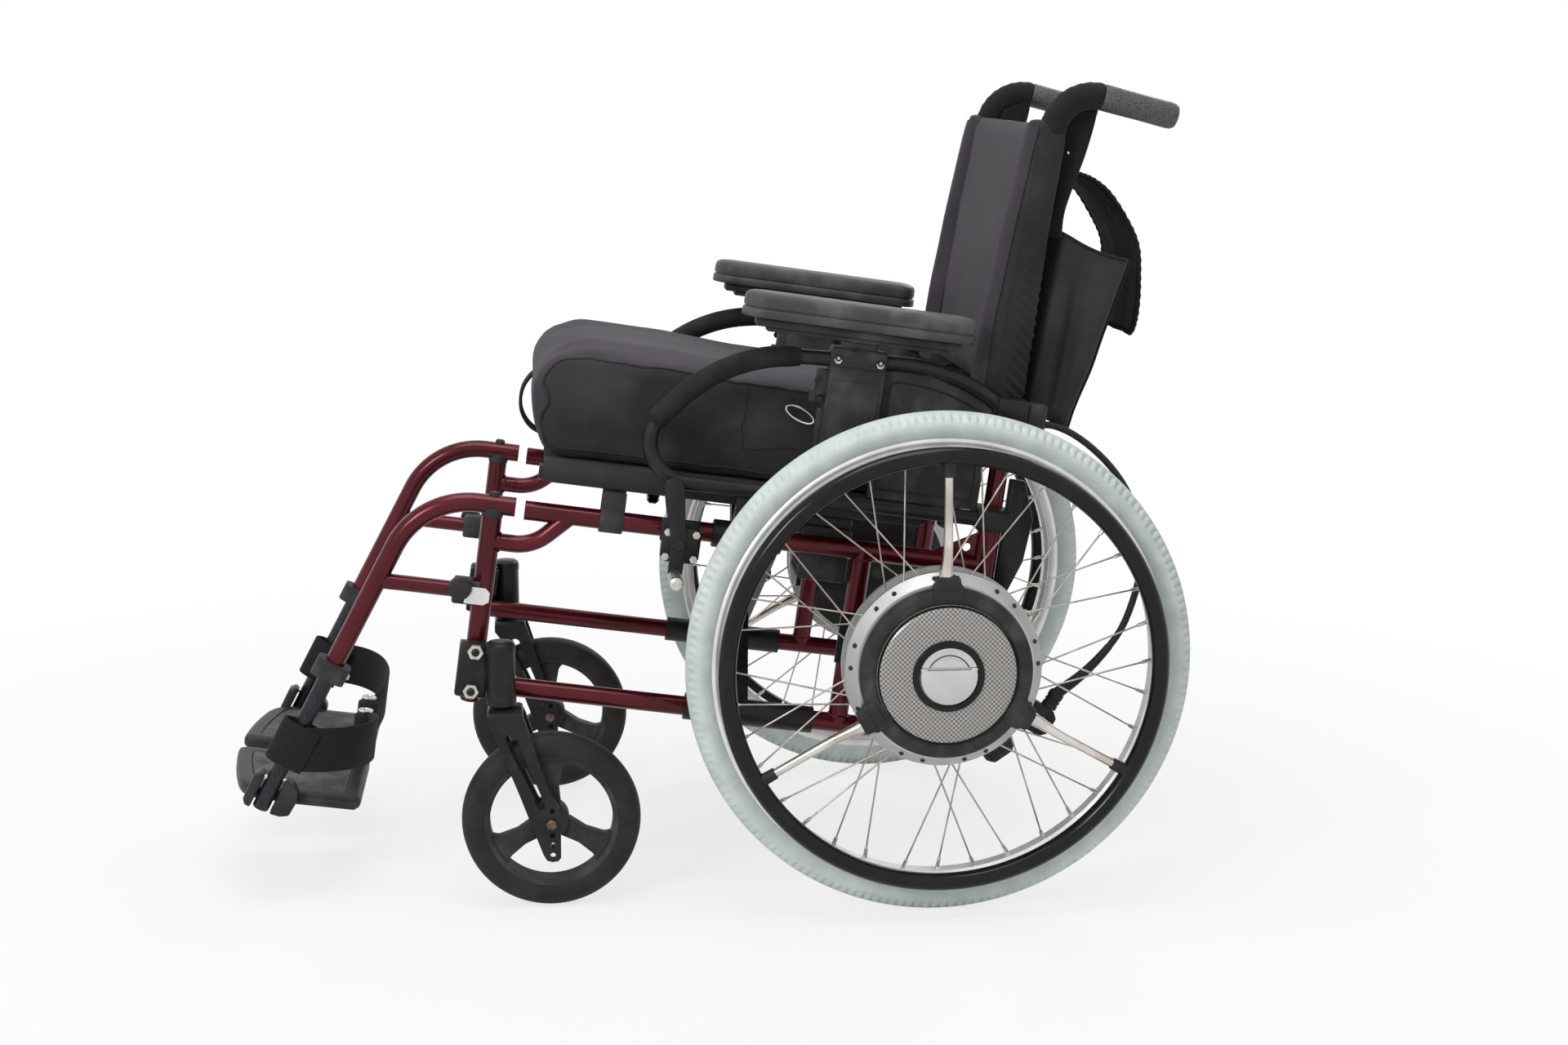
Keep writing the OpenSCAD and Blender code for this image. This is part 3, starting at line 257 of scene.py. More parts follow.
def turned(profile, origin, axis, steps=64, closed=False):
    """A lathe-turned shape; the profile holds (radius, distance along the axis) in millimetres."""
    axis = Vector(axis).normalized()
    side = axis.orthogonal().normalized()
    up = axis.cross(side)
    n = len(profile)
    points, faces = [], []
    for k in range(steps):
        a = 2 * math.pi * k / steps
        out = math.cos(a) * side + math.sin(a) * up
        points += [origin + MM * (h * axis + r * out) for r, h in profile]
        after = (k + 1) % steps
        for i in range(n if closed else n - 1):
            j = (i + 1) % n
            faces.append((k * n + i, k * n + j, after * n + j, after * n + i))
    return points, faces


plug_way = Vector((math.sin(math.radians(32)), 0, math.cos(math.radians(32))))
plug_seat = AXLE + MM * (Vector(lead_route[-1]) - 18.4 * plug_way)
plug_profile = [(0, 0), (9, 0), (9, 5), (8, 5.6), (8, 7), (9, 7.6), (9, 10), (8, 10.6), (8, 12), (9, 12.6),
                (9, 18), (7.4, 21.2), (0, 21.4)]
lead_plug = piece("power_lead_plug", "left_frame", black_rubber,
                  turned(plug_profile, plug_seat, plug_way, 32))


def lofted(rings, closed=False):
    """A skin over rings of as many points each; it ends in flat caps, or runs round when closed."""
    n, m = len(rings), len(rings[0])
    points = [p for ring in rings for p in ring]
    faces = []
    for k in range(n if closed else n - 1):
        a, b = k * m, (k + 1) % n * m
        faces += [(a + s, a + (s + 1) % m, b + (s + 1) % m, b + s) for s in range(m)]
    if not closed:
        faces += [list(range(m)), list(range((n - 1) * m, n * m))]
    return points, faces


def swept(path, radius, sides=20, bore=0.0):
    """A round bar of this radius, or row of radii, along a path; with a bore it is an open tube."""
    path = [Vector(p) for p in path]
    n = len(path)
    radii = radius if isinstance(radius, list) else [radius] * n
    rings = []
    across = (path[1] - path[0]).orthogonal().normalized()
    for k, (p, r) in enumerate(zip(path, radii)):
        way = (path[min(k + 1, n - 1)] - path[max(k - 1, 0)]).normalized()
        across = (across - across.dot(way) * way).normalized()
        up = way.cross(across)
        rings.append((p, r, across.copy(), up))
    rows = rings if not bore else rings + [(p, bore, a, b) for p, r, a, b in reversed(rings)]
    turns = [2 * math.pi * s / sides for s in range(sides)]
    skin = [[p + MM * r * (math.cos(t) * a + math.sin(t) * b) for t in turns] for p, r, a, b in rows]
    return lofted(skin, closed=bool(bore))


relief_line = [lead_line[-1 - k] for k in range(8)]
relief = [7.0, 6.6, 6.2, 5.8, 5.4, 5.1, 4.8, 4.5]
lead_relief = piece("power_lead_relief", "left_frame", black_rubber, swept(relief_line, relief, 18))
lead_length = sum((b - a).length for a, b in zip(lead_line, lead_line[1:]))
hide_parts("left_power_lead")
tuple(lead_line[0])

# Side frames and back canes: bent and welded steel tube under a candy maroon paint, a clear
# coat over a metal flake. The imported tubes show; their ends, weld beads and saddles are added.
HANDS = (("left", -1), ("right", 1))
TILT = math.radians(8.1)
SLOPE_C, SLOPE_S = math.cos(TILT), math.sin(TILT)
FRAME_BACK, FRAME_UP, FRAME_HALF = 516, 100.6, 195


def on_side(hand):
    """Places points of one side frame: u rearward along it, v up, w outboard, in millimetres."""
    ahead, up = FRAME_UP * SLOPE_S - FRAME_BACK * SLOPE_C, FRAME_BACK * SLOPE_S + FRAME_UP * SLOPE_C
    origin = AXLE + MM * Vector((ahead, hand * FRAME_HALF, up))

    def place(u, v, w=0):
        return origin + MM * Vector((u * SLOPE_C + v * SLOPE_S, hand * w, v * SLOPE_C - u * SLOPE_S))
    return place


REARWARD = Vector((SLOPE_C, 0, -SLOPE_S))
UPWARD = Vector((SLOPE_S, 0, SLOPE_C))


def dress(node, finish):
    """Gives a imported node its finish."""
    for part_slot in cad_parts[node].material_slots:
        part_slot.material = finish


def candy(place):
    flake = place.grain(2400, 1)
    cloud = place.grain(14, 3)
    tone = (flake * 0.55 + cloud * 0.45).step(0.36, 0.66)
    return {"Base Color": tone.colours((0.052, 0.004, 0.008), (0.120, 0.010, 0.018)),
            "Roughness": 0.2 + 0.14 * cloud, "Bump": (place.grain(70, 2), 0.12, 0.0008)}


def moulded(place):
    pits = place.grain(2200, 2)
    haze = place.grain(30, 4)
    return {"Base Color": haze.step(0.4, 0.8).colours((0.028, 0.028, 0.029), (0.074, 0.074, 0.075)),
            "Roughness": 0.48 + 0.2 * haze, "Bump": (pits, 0.35, 0.0004)}


maroon = surface("candy_maroon", candy,
                 {"Metallic": 0.5, "Specular IOR Level": 0.15, "Coat Weight": 0.25, "Coat Roughness": 0.06})
black_plastic = surface("moulded_black_plastic", moulded, {"Specular IOR Level": 0.18})


def joined(*shapes):
    """Several shapes as one."""
    points, faces = [], []
    for more_points, more_faces in shapes:
        first = len(points)
        points += more_points
        faces += [[k + first for k in face] for face in more_faces]
    return points, faces


def strap(path, width_way, width, thick):
    """A flat strap along a path, with its width along one direction and softly rounded edges."""
    width_way = Vector(width_way).normalized()
    path = [Vector(p) for p in path]
    n = len(path)
    half, t = width / 2, thick / 2
    section = [(-half, -t * 0.4), (-half, t * 0.4), (-half + t, t), (half - t, t), (half, t * 0.4),
               (half, -t * 0.4), (half - t, -t), (-half + t, -t)]
    rings = []
    for k, p in enumerate(path):
        way = (path[min(k + 1, n - 1)] - path[max(k - 1, 0)]).normalized()
        wide = (width_way - width_way.dot(way) * way).normalized()
        face_way = way.cross(wide)
        rings.append([p + MM * (a * wide + b * face_way) for a, b in section])
    return lofted(rings)


def arc(cu, cv, r, start, stop, steps):
    """Points of an arc in a side frame's plane, as (u, v)."""
    turns = [math.radians(start + (stop - start) * k / steps) for k in range(steps + 1)]
    return [(cu + r * math.cos(a), cv + r * math.sin(a)) for a in turns]


for side, hand in HANDS:
    at = on_side(hand)
    body = side + "_frame"
    for node in ("side_frame", "back_cane"):
        dress(f"{side}_{node}", maroon)
    mouth = [(0, -0.3), (8.6, -0.3), (9.4, 0.4), (10.9, 0.2), (10.9, -0.5), (0, -0.5)]
    piece(f"{side}_seat_tube_mouth", body, black_plastic,
          turned(mouth, at(36, 0), -REARWARD, 32))
    plug = [(0, 3.4), (6, 3.2), (10.4, 1.6), (10.9, 0.2), (10.9, -0.4), (0, -0.4)]
    piece(f"{side}_upright_plug", body, black_plastic,
          turned(plug, at(0, -225), -UPWARD, 32))
    beads = []
    for start, way, radius in ((at(425, -10), UPWARD, 12.2), (at(425, -196), UPWARD, 12.2),
                               (at(568, -196), UPWARD, 12.2), (at(568, -14), UPWARD, 13.2),
                               (at(12, -40), REARWARD, 10.6)):
        bead = [(radius + 1.1 * math.cos(t), 1.4 * math.sin(t)) for t in (math.pi * k / 3 for k in range(6))]
        beads.append(turned(bead, start, way, 40, closed=True))
    piece(f"{side}_weld_beads", body, maroon, joined(*beads))
    saddle = [(9, 34), (12.4, 24), (13, 0)] + arc(0, 0, 13, -12, -168, 12) + [(-13, 0), (-12.4, 24), (-9, 34)]
    under = [at(134, v, w) for w, v in saddle]
    piece(f"{side}_rail_saddle", body, black_plastic, strap(under, REARWARD, 27, 3))

# Push grips: black foam sleeves with a pebbled skin and a round closed end, pushed over the
# ends of the canes.


def pebbled(place):
    ridges_and_painted_highlight = place.node("TexVoronoi", {}, {"Vector": place, "Scale": 420.0})
    sheen = place.grain(40, 3)
    # The lighter colour on the pebbles' raised ridges is painted highlight: it stands in for the specks of
    # light on the foam.
    return {"Base Color": ridges_and_painted_highlight.step(0.1, 0.6).colours((0.020, 0.020, 0.020), (0.085, 0.087, 0.085)),
            "Roughness": 0.38 + 0.22 * sheen, "Bump": (ridges_and_painted_highlight, 0.6, 0.0006)}


grip_foam = surface("pebbled_grip_foam_painted_highlight", pebbled, {"Specular IOR Level": 0.4})
HANDLE_END = math.radians(90 - 6.5)
handle_u, handle_v = 613 + 45 * math.cos(HANDLE_END), 501.6 + 45 * math.sin(HANDLE_END)
for side, hand in HANDS:
    at = on_side(hand)
    start = at(handle_u, handle_v)
    way = at(handle_u + math.sin(HANDLE_END), handle_v - math.cos(HANDLE_END)) - start
    profile = [(11.3, 0), (14.4, 0), (15, 1.2), (15, 20), (14.7, 45), (15, 70), (15, 79), (14.4, 84),
               (12.4, 87.4), (9, 88.8), (5, 89), (4.4, 87.6), (0, 87.4), (0, 85.2), (11.3, 85.2)]
    grip = piece(f"{side}_foam_grip", side + "_frame", grip_foam,
                 turned(profile, start, way, 56, closed=True))
    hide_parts(f"{side}_push_grip")

# Castor housings: a black bearing tube with a domed cap, in a clamp bracket that two zinc nuts
# draw against the front upright.


def slab(outline, place, low, high, edge, rounds=2):
    """A plate: an outline in two coordinates, drawn through the third, with rounded edges."""
    build = bmesh.new()
    n = len(outline)
    near = [build.verts.new(place(a, b, low)) for a, b in outline]
    far = [build.verts.new(place(a, b, high)) for a, b in outline]
    build.faces.new(near)
    build.faces.new(far)
    for k in range(n):
        build.faces.new((near[k], near[(k + 1) % n], far[(k + 1) % n], far[k]))
    bmesh.ops.recalc_face_normals(build, faces=build.faces)
    corners = [e for e in build.edges if e.calc_face_angle(0) > math.radians(22)]
    bmesh.ops.bevel(build, geom=corners, offset=edge * MM, segments=rounds, profile=0.5, affect="EDGES",
                    clamp_overlap=True)
    build.verts.index_update()
    shape = [v.co.copy() for v in build.verts], [[v.index for v in f.verts] for f in build.faces]
    build.free()
    return shape


def brick(low, high, place, edge):
    """A box with rounded edges between two corners."""
    outline = [(low[0], low[1]), (high[0], low[1]), (high[0], high[1]), (low[0], high[1])]
    return slab(outline, place, low[2], high[2], edge)


def black_satin(place):
    speck = place.grain(1500, 2)
    wear = place.grain(25, 4)
    return {"Base Color": wear.step(0.45, 0.8).colours((0.010, 0.010, 0.011), (0.026, 0.026, 0.028)),
            "Roughness": 0.3 + 0.2 * wear, "Bump": (speck, 0.12, 0.0003)}


def zinc(place):
    bloom = place.grain(120, 4)
    return {"Base Color": bloom.step(0.35, 0.7).colours((0.46, 0.44, 0.40), (0.66, 0.65, 0.62)),
            "Roughness": 0.24 + 0.2 * bloom, "Bump": (place.grain(500, 2), 0.1, 0.0003)}


satin_black = surface("satin_black_paint", black_satin,
                      {"Specular IOR Level": 0.2, "Coat Weight": 0.12, "Coat Roughness": 0.2})
zinc_plate = surface("zinc_plated_steel", zinc, {"Metallic": 1.0})
frame_foot = on_side(-1)(0, -185)
SWIVEL_X = frame_foot.x / MM + 31
CASTOR_HALF = 229
HOUSING_LOW = frame_foot.z / MM - 39.5
for side, hand in HANDS:
    at = on_side(hand)
    swivel = MM * Vector((SWIVEL_X, hand * CASTOR_HALF, HOUSING_LOW))
    tube_profile = [(8.2, 0), (15.4, 0), (17, 1.6), (17, 10), (16.4, 10.8), (16.4, 61), (17, 62), (17, 68),
                    (16.2, 71.6), (13, 74), (7, 75), (0, 75), (0, 67.8), (8.2, 67.8)]
    bracket = joined(turned(tube_profile, swivel, (0, 0, 1), 48, closed=True),
                     brick((-18.5, -217, 11.9), (18.5, -153, 29.8), at, 4),
                     brick((-18.5, -190, 2.2), (-12.2, -156, 14), at, 1.5),
                     brick((12.2, -190, 2.2), (18.5, -156, 14), at, 1.5))
    housing = piece(f"{side}_castor_bracket", side + "_frame", satin_black, bracket)
    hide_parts(f"{side}_castor_housing")
    dress(f"{side}_frame_bolts", zinc_plate)
    domes = []
    for v in (-162, -208):
        domes.append(turned([(0, 3.4), (2.6, 3.1), (4.4, 1.8), (4.8, 0), (0, 0)], at(0, v, 37.1),
                            (0, hand, 0), 20))
    for u in (425, 568):
        for v in (-81.6, -119.6):
            domes.append(turned([(0, 3), (2.4, 2.7), (3.6, 1.4), (3.9, 0), (0, 0)], at(u, v, 23.6),
                                (0, hand, 0), 20))
    piece(f"{side}_bolt_ends", side + "_frame", satin_black, joined(*domes))

# Castor forks: flat black-painted steel, bent from a crown to two legs. Each leg has a long slot
# and ends in a row of axle holes, with the through bolt in one of them.


def pierced(outline, openings, place, low, high):
    """A plate with openings right through it."""
    loops = [outline] + openings
    flat_points = [p for row in loops for p in row]
    n = len(flat_points)
    points = [place(a, b, low) for a, b in flat_points] + [place(a, b, high) for a, b in flat_points]
    faces = []
    for tri in tessellate_polygon([[Vector((a, b, 0)) for a, b in row] for row in loops]):
        faces += [tuple(tri), tuple(k + n for k in tri)]
    first = 0
    for row in loops:
        m = len(row)
        faces += [(first + k, first + (k + 1) % m, first + (k + 1) % m + n, first + k + n) for k in range(m)]
        first += m
    return points, faces


def ring_of(a, b, r, steps=20):
    """A round opening, as points of the plate."""
    return [(a + r * math.cos(2 * math.pi * k / steps), b + r * math.sin(2 * math.pi * k / steps))
            for k in range(steps)]


def browned(place):
    bloom = place.grain(150, 4)
    return {"Base Color": bloom.step(0.35, 0.7).colours((0.10, 0.075, 0.055), (0.20, 0.16, 0.12)),
            "Roughness": 0.3 + 0.2 * bloom, "Bump": (place.grain(500, 2), 0.1, 0.0003)}


axle_bronze = surface("browned_axle_steel", browned, {"Metallic": 1.0})
AXLE_A, AXLE_B = 54, 102
FORK_HALF, FORK_THICK = 25.5, 5
fork_leg = [(-16, 238), (-16, 219), (-10, 211), (17, 141), (44, 66), (48, 59), (54, 57), (61, 58), (64, 62),
            (64.5, 112), (62, 122), (56, 134), (48, 152), (36, 192), (27, 221), (24, 238)]
slot_top, slot_low = Vector((10, 203)), Vector((43, 123))
slot_way = (slot_low - slot_top).normalized()
slot_side = Vector((-slot_way.y, slot_way.x))
fork_slot = []
for end, way, half in ((slot_top, -1, 6.2), (slot_low, 1, 4.2)):
    for k in range(9):
        s = math.pi * k / 8
        fork_slot.append(tuple(end + half * (way * math.cos(s) * slot_side + way * math.sin(s) * slot_way)))
for side, hand in HANDS:
    crown = HOUSING_LOW - 3

    def on_fork(a, b, c, hand=hand):
        return MM * Vector((SWIVEL_X + a, hand * (CASTOR_HALF + c), b))

    shapes = [turned([(0, -18), (8, -18), (8, 62), (7, 63), (0, 63)],
                     MM * Vector((SWIVEL_X, hand * CASTOR_HALF, crown)), (0, 0, 1), 32),
              brick((-16, crown - 18, -25.4), (24, crown, 25.4), on_fork, 4)]
    holes = [ring_of(AXLE_A + 1, b, 3.1) for b in (117, 89, 77, 65)]
    for low in (-FORK_HALF, FORK_HALF - FORK_THICK):
        shapes.append(pierced([(a, min(b, crown - 6)) for a, b in fork_leg], [fork_slot] + holes, on_fork,
                              low, low + FORK_THICK))
    fork = piece(f"{side}_fork", side + "_castor_fork", satin_black, joined(*shapes))
    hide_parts(f"{side}_castor_fork")
    near, far = on_fork(AXLE_A, AXLE_B, -FORK_HALF), on_fork(AXLE_A, AXLE_B, FORK_HALF)
    head = [(0, 4.6), (5, 4.6), (6.4, 3.6), (6.4, 0), (0, 0)]
    heads = [turned(head, far, (0, hand, 0), 6), turned(head, near, (0, -hand, 0), 6),
             turned([(0, 0), (4, 0), (4, 2 * FORK_HALF), (0, 2 * FORK_HALF)], near, (0, hand, 0), 20)]
    piece(f"{side}_castor_axle", side + "_castor_fork", axle_bronze, joined(*heads))

# Castors: a solid dark rubber tyre with rounded shoulders, bonded on a moulded nylon centre
# with three broad spokes.


def castor_rubber(place):
    scuff = place.grain(34, 5)
    return {"Base Color": scuff.step(0.3, 0.8).colours((0.013, 0.012, 0.011), (0.030, 0.028, 0.026)),
            "Roughness": 0.5 + 0.25 * scuff, "Bump": (place.grain(700, 3), 0.3, 0.0005)}


def heading(degrees):
    """A direction in a plane, turned so far from its first axis."""
    return Vector((math.cos(math.radians(degrees)), math.sin(math.radians(degrees))))


THIRDS = (90, 210, 330)
castor_tyre = surface("castor_rubber", castor_rubber, {"Specular IOR Level": 0.25})
for side, hand in HANDS:
    centre = MM * Vector((SWIVEL_X + AXLE_A, hand * CASTOR_HALF, AXLE_B))

    def on_castor(a, b, c, centre=centre, hand=hand):
        return centre + MM * Vector((a, hand * c, b))

    section = [(76, -15), (80, -16.6), (88, -17), (94, -15.6), (98.6, -12), (101, -7), (102, 0), (101, 7),
               (98.6, 12), (94, 15.6), (88, 17), (80, 16.6), (76, 15)]
    tyre = piece(f"{side}_castor_tyre", side + "_castor", castor_tyre,
                 turned(section, centre, (0, hand, 0), 96, closed=True), 50)
    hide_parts(f"{side}_castor_wheel")
    ring = [(70, -13), (71.5, -14.4), (76, -15.4), (77, -14), (77, 14), (76, 15.4), (71.5, 14.4), (70, 13)]
    hub = [(4.1, -18), (11, -18), (12, -17), (18, -16), (20, -13), (20, 13), (18, 16), (12, 17), (11, 18),
           (4.1, 18)]
    parts = [turned(ring, centre, (0, hand, 0), 96, closed=True),
             turned(hub, centre, (0, hand, 0), 48, closed=True)]
    for turn in THIRDS:
        way, across = heading(turn), heading(turn + 90)
        outline = [16 * way + 11 * across, 40 * way + 9 * across, 62 * way + 13 * across,
                   71.5 * way + 22 * across, 71.5 * way - 22 * across, 62 * way - 13 * across,
                   40 * way - 9 * across, 16 * way - 11 * across]
        parts.append(slab([tuple(p) for p in outline], on_castor, -11, 11, 2.5))
    piece(f"{side}_castor_centre", side + "_castor", black_plastic, joined(*parts))

# Swing-away hangers: bent maroon tube with open ends on a pivot pin, a strut to a black
# quick-release clamp that grips the upright, its knob and a nickel latch tab.


def bright_metal(place):
    brushed = place.node("VectorMath", {"operation": "MULTIPLY"}, {0: place, 1: (40, 40, 900)}).grain(1, 3)
    stain = place.grain(18, 3)
    return {"Base Color": stain.step(0.35, 0.75).colours((0.62, 0.62, 0.62), (0.80, 0.80, 0.79)),
            "Roughness": 0.2 + 0.16 * brushed, "Bump": (brushed, 0.06, 0.0002)}


bright_steel = surface("bright_steel", bright_metal, {"Metallic": 1.0})
LEG_TURN, BEND_R, BEND_U, BEND_V = 70, 93, -17, 2
LEG_TOP = Vector((BEND_U, BEND_V - BEND_R)) + BEND_R * heading(90 + LEG_TURN)
LEG_WAY = -heading(LEG_TURN)
for side, hand in HANDS:
    at = on_side(hand)
    body = side + "_hanger"

    def down_leg(s, at=at):
        return at(LEG_TOP.x + s * LEG_WAY.x, LEG_TOP.y + s * LEG_WAY.y)

    bow = [(25, BEND_V), (12, BEND_V), (0, BEND_V)]
    bow += arc(BEND_U, BEND_V - BEND_R, BEND_R, 90, 90 + LEG_TURN, 20)
    tube_path = [at(u, v) for u, v in bow] + [down_leg(s) for s in (40, 80, 120, 165)]
    strut = [at(LEG_TOP.x + 44 * LEG_WAY.x, -100), at(-30, -100)]
    hanger = piece(f"{side}_hanger_tube", body, maroon,
                   joined(swept(tube_path, 11, 28, 9.7), swept(strut, 9, 24)))
    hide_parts(f"{side}_hanger")
    collar = [(7, -50), (7, -13.6), (12, -13.6), (12.2, -13), (12.2, -5), (11, -3.6), (9, -3.6), (0, -3.6),
              (0, -50)]
    pin_cap = [(0, 15), (4.4, 15), (6, 13.6), (6, 8), (0, 8)]
    knob = [(0, 16), (9.4, 16), (12, 14.8), (13, 12), (13, 3), (11.6, 1), (0, 1)]
    clamp = joined(turned(collar, at(0, BEND_V), UPWARD, 40), turned(pin_cap, at(0, BEND_V), UPWARD, 28),
                   turned(knob, at(-26, -94, 13), (0, hand, 0), 40),
                   brick((-34, -114, -13.8), (-12.2, -86, 13.8), at, 3),
                   brick((-14, -114, -13.8), (-3, -86, -9.5), at, 1.5),
                   brick((-14, -114, 9.5), (-3, -86, 13.8), at, 1.5))
    piece(f"{side}_hanger_clamp", body, black_plastic, clamp)
    tab = [(-20, -112), (2, -112), (8, -108), (8, -97), (3, -92), (-20, -92)]
    piece(f"{side}_latch_tab", body, bright_steel, slab(tab, at, 13.2, 15, 0.5))

# Footrest tubes: dark grey tubes that telescope into the hangers, each with an oblong clamp
# collar, its screw and the hinge pin for its footplate.


def blue_grey(place):
    rub = place.node("VectorMath", {"operation": "MULTIPLY"}, {0: place, 1: (700, 700, 60)}).grain(1, 3)
    return {"Base Color": rub.step(0.3, 0.75).colours((0.020, 0.022, 0.026), (0.042, 0.045, 0.050)),
            "Roughness": 0.3 + 0.18 * rub, "Bump": (rub, 0.08, 0.0002)}


dark_tube = surface("dark_anodised_tube", blue_grey, {"Metallic": 0.75})
HINGE_DOWN = 303
FLIP_U, FLIP_V = LEG_TOP + HINGE_DOWN * LEG_WAY
for side, hand in HANDS:
    at = on_side(hand)
    body = side + "_hanger"
    way = at(LEG_TOP.x + LEG_WAY.x, LEG_TOP.y + LEG_WAY.y) - at(LEG_TOP.x, LEG_TOP.y)
    top = at(LEG_TOP.x, LEG_TOP.y)
    tube = [(0, 105), (9.5, 105), (9.5, 340.5), (8.6, 342), (0, 342)]
    stretcher = piece(f"{side}_foot_tube", body, dark_tube, turned(tube, top, way, 36))
    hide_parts(f"{side}_footrest_tube")

    def on_collar(a, c, b, at=at):
        """Places points by the collar: a behind the tube's axis, c outboard, b down the leg."""
        return at(LEG_TOP.x + b * LEG_WAY.x - a * LEG_WAY.y, LEG_TOP.y + b * LEG_WAY.y + a * LEG_WAY.x, c)

    oblong = [(sa * (9 + 11 * math.cos(k)), sc * (5 + 10 * math.sin(k)))
              for sa, sc, turns in ((1, 1, (0, 1, 2, 3, 4)), (-1, 1, (4, 3, 2, 1, 0)),
                                    (-1, -1, (0, 1, 2, 3, 4)), (1, -1, (4, 3, 2, 1, 0)))
              for k in (math.pi * turn / 8 for turn in turns)]
    collar = pierced(oblong, [ring_of(0, 0, 11.1, 36)], on_collar, 149.5, 171)
    piece(f"{side}_foot_collar", body, black_plastic, collar)
    pin = [(0, -14), (3.2, -14), (3.2, 13), (0, 13)]
    behind = on_collar(1, 0, 0) - on_collar(0, 0, 0)
    screw = turned([(0, 3), (2.6, 2.7), (3.8, 1.4), (3.8, 0), (0, 0)], on_collar(19.8, 0, 160), behind, 20)
    piece(f"{side}_hinge_pin", body, zinc_plate,
          joined(turned(pin, at(FLIP_U, FLIP_V), REARWARD, 20), screw))

# Footplates: moulded black plates with a round toe and a smooth rim round a gritted tread. Two
# lugs hold the footrest tube between them on the hinge pin, and a post carries the heel loop.
PLATE_TOP = FLIP_V - 17
PLATE_IN = FRAME_HALF - 18.5
POST_U, POST_W = -122, 12 - PLATE_IN
TOE_R, TOE_U = 700, -268


def gritted(place):
    grit = place.grain(1300, 3)
    scuff = place.grain(45, 4)
    tone = (grit * 0.75 + scuff * 0.35).step(0.40, 0.74)
    return {"Base Color": tone.colours((0.022, 0.021, 0.021), (0.190, 0.183, 0.180)),
            "Roughness": 0.6 + 0.25 * grit, "Bump": (grit, 0.7, 0.0008)}


def plate_moulding(place):
    pits = place.grain(1800, 2)
    rubbed = place.grain(26, 4)
    return {"Base Color": rubbed.step(0.35, 0.75).colours((0.014, 0.0137, 0.0145), (0.038, 0.037, 0.039)),
            "Roughness": 0.36 + 0.2 * rubbed, "Bump": (pits, 0.25, 0.0003)}


grit_tread = surface("gritted_tread", gritted, {"Specular IOR Level": 0.2})
plate_plastic = surface("rubbed_plate_plastic", plate_moulding, {"Specular IOR Level": 0.3})


def rounded(before, corner, after):
    """Five points that round off a corner between two edges."""
    before, corner, after = Vector(before), Vector(corner), Vector(after)
    return [tuple((1 - s) ** 2 * before + 2 * s * (1 - s) * corner + s * s * after)
            for s in (0, 0.25, 0.5, 0.75, 1)]


def plate_edge(inset):
    """The footplate's outline as (u, w), drawn in by so much on every side."""
    near, out, heel = -PLATE_IN + 1.5 + inset, -14 - inset, -110 - inset
    big, small = max(34 - inset, 14), max(10 - 0.3 * inset, 4)

    def toe(w):
        """Where the round toe runs at a distance outboard of the frame."""
        return TOE_U + TOE_R - math.sqrt((TOE_R - inset) ** 2 - (w + FRAME_HALF) ** 2)

    line = rounded((toe(near) + small, near), (toe(near), near), (toe(near + small), near + small))
    line += [(toe(w), w) for w in (near + small + k * (out - big - near - small) / 12 for k in range(1, 12))]
    line += rounded((toe(out - big), out - big), (toe(out), out), (toe(out) + big, out))
    line += rounded((heel - small, out), (heel, out), (heel, out - small))
    return line + rounded((heel, near + small), (heel, near), (heel - small, near))


def on_leg(at):
    """Places points by the footrest tube: a behind its axis, b down it from the hinge, c outboard."""
    behind = Vector((-LEG_WAY.y, LEG_WAY.x))
    hinge = Vector((FLIP_U, FLIP_V))

    def place(a, b, c=0):
        spot = hinge + b * LEG_WAY + a * behind
        return at(spot.x, spot.y, c)
    return place


plate_rows = [(6, -16), (1.6, -14.8), (0, -11.5), (0, -5.5), (1.4, -2), (4.5, -0.4), (9, 0), (17, -0.4),
              (18, -1.6), (20, -2.2)]
for side, hand in HANDS:
    at = on_side(hand)
    leg = on_leg(at)
    body = side + "_footplate"

    def flat(u, w, v, at=at):
        return at(u, v, w)

    rings = [[flat(u, w, PLATE_TOP + rise) for u, w in plate_edge(inset)] for inset, rise in plate_rows]
    plate = [lofted(rings)]
    front_lug = [(-23, 5), (-17, -1), (-11.4, 1), (-11.4, 42), (-18, 42), (-22.5, 36)]
    rear_lug = [(12, -5), (22, -3), (31, 4), (34, 16), (33, 33), (24, 38), (12, 40)]
    plate += [slab(front_lug, leg, -18, 6, 2, 3), slab(rear_lug, leg, -15, 6, 2.5, 3)]
    plate.append(brick((FLIP_U + 18, PLATE_TOP - 15.6, -24), (-114, PLATE_TOP - 5, -11), at, 3))
    post = [(0, -3), (12, -3), (11, 2), (9, 6), (9, 62), (0, 62)]
    plate.append(turned(post, at(POST_U, PLATE_TOP, POST_W), UPWARD, 32))
    tread = piece(f"{side}_foot_tread", body, plate_plastic, joined(*plate), 40)
    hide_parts(f"{side}_footplate")
    piece(f"{side}_foot_grit", body, grit_tread,
          slab(plate_edge(18.6), flat, PLATE_TOP - 3, PLATE_TOP - 0.8, 0.5))
    eye = [(3.4, 61), (8.4, 61), (9, 61.8), (8.8, 63.4), (7.6, 64), (4.4, 64), (3.4, 63)]
    piece(f"{side}_post_grommet", body, bright_steel,
          turned(eye, at(POST_U, PLATE_TOP, POST_W), UPWARD, 32, closed=True))

# Heel loops: black webbing straps, sewn round the footrest tube at one end and round the
# footplate's post at the other.


def woven(place):
    diagonal = place.along(0) + place.along(1)
    warp = diagonal.waves(620)
    weft = place.along(2).waves(620)
    cloth = (warp * weft + 1) * 0.5
    fuzz = place.grain(240, 4)
    tone = (cloth * 0.6 + fuzz * 0.5).step(0.2, 0.95)
    return {"Base Color": tone.colours((0.007, 0.007, 0.008), (0.028, 0.028, 0.030)),
            "Roughness": 0.72 + 0.2 * fuzz, "Bump": (cloth, 0.4, 0.0005)}


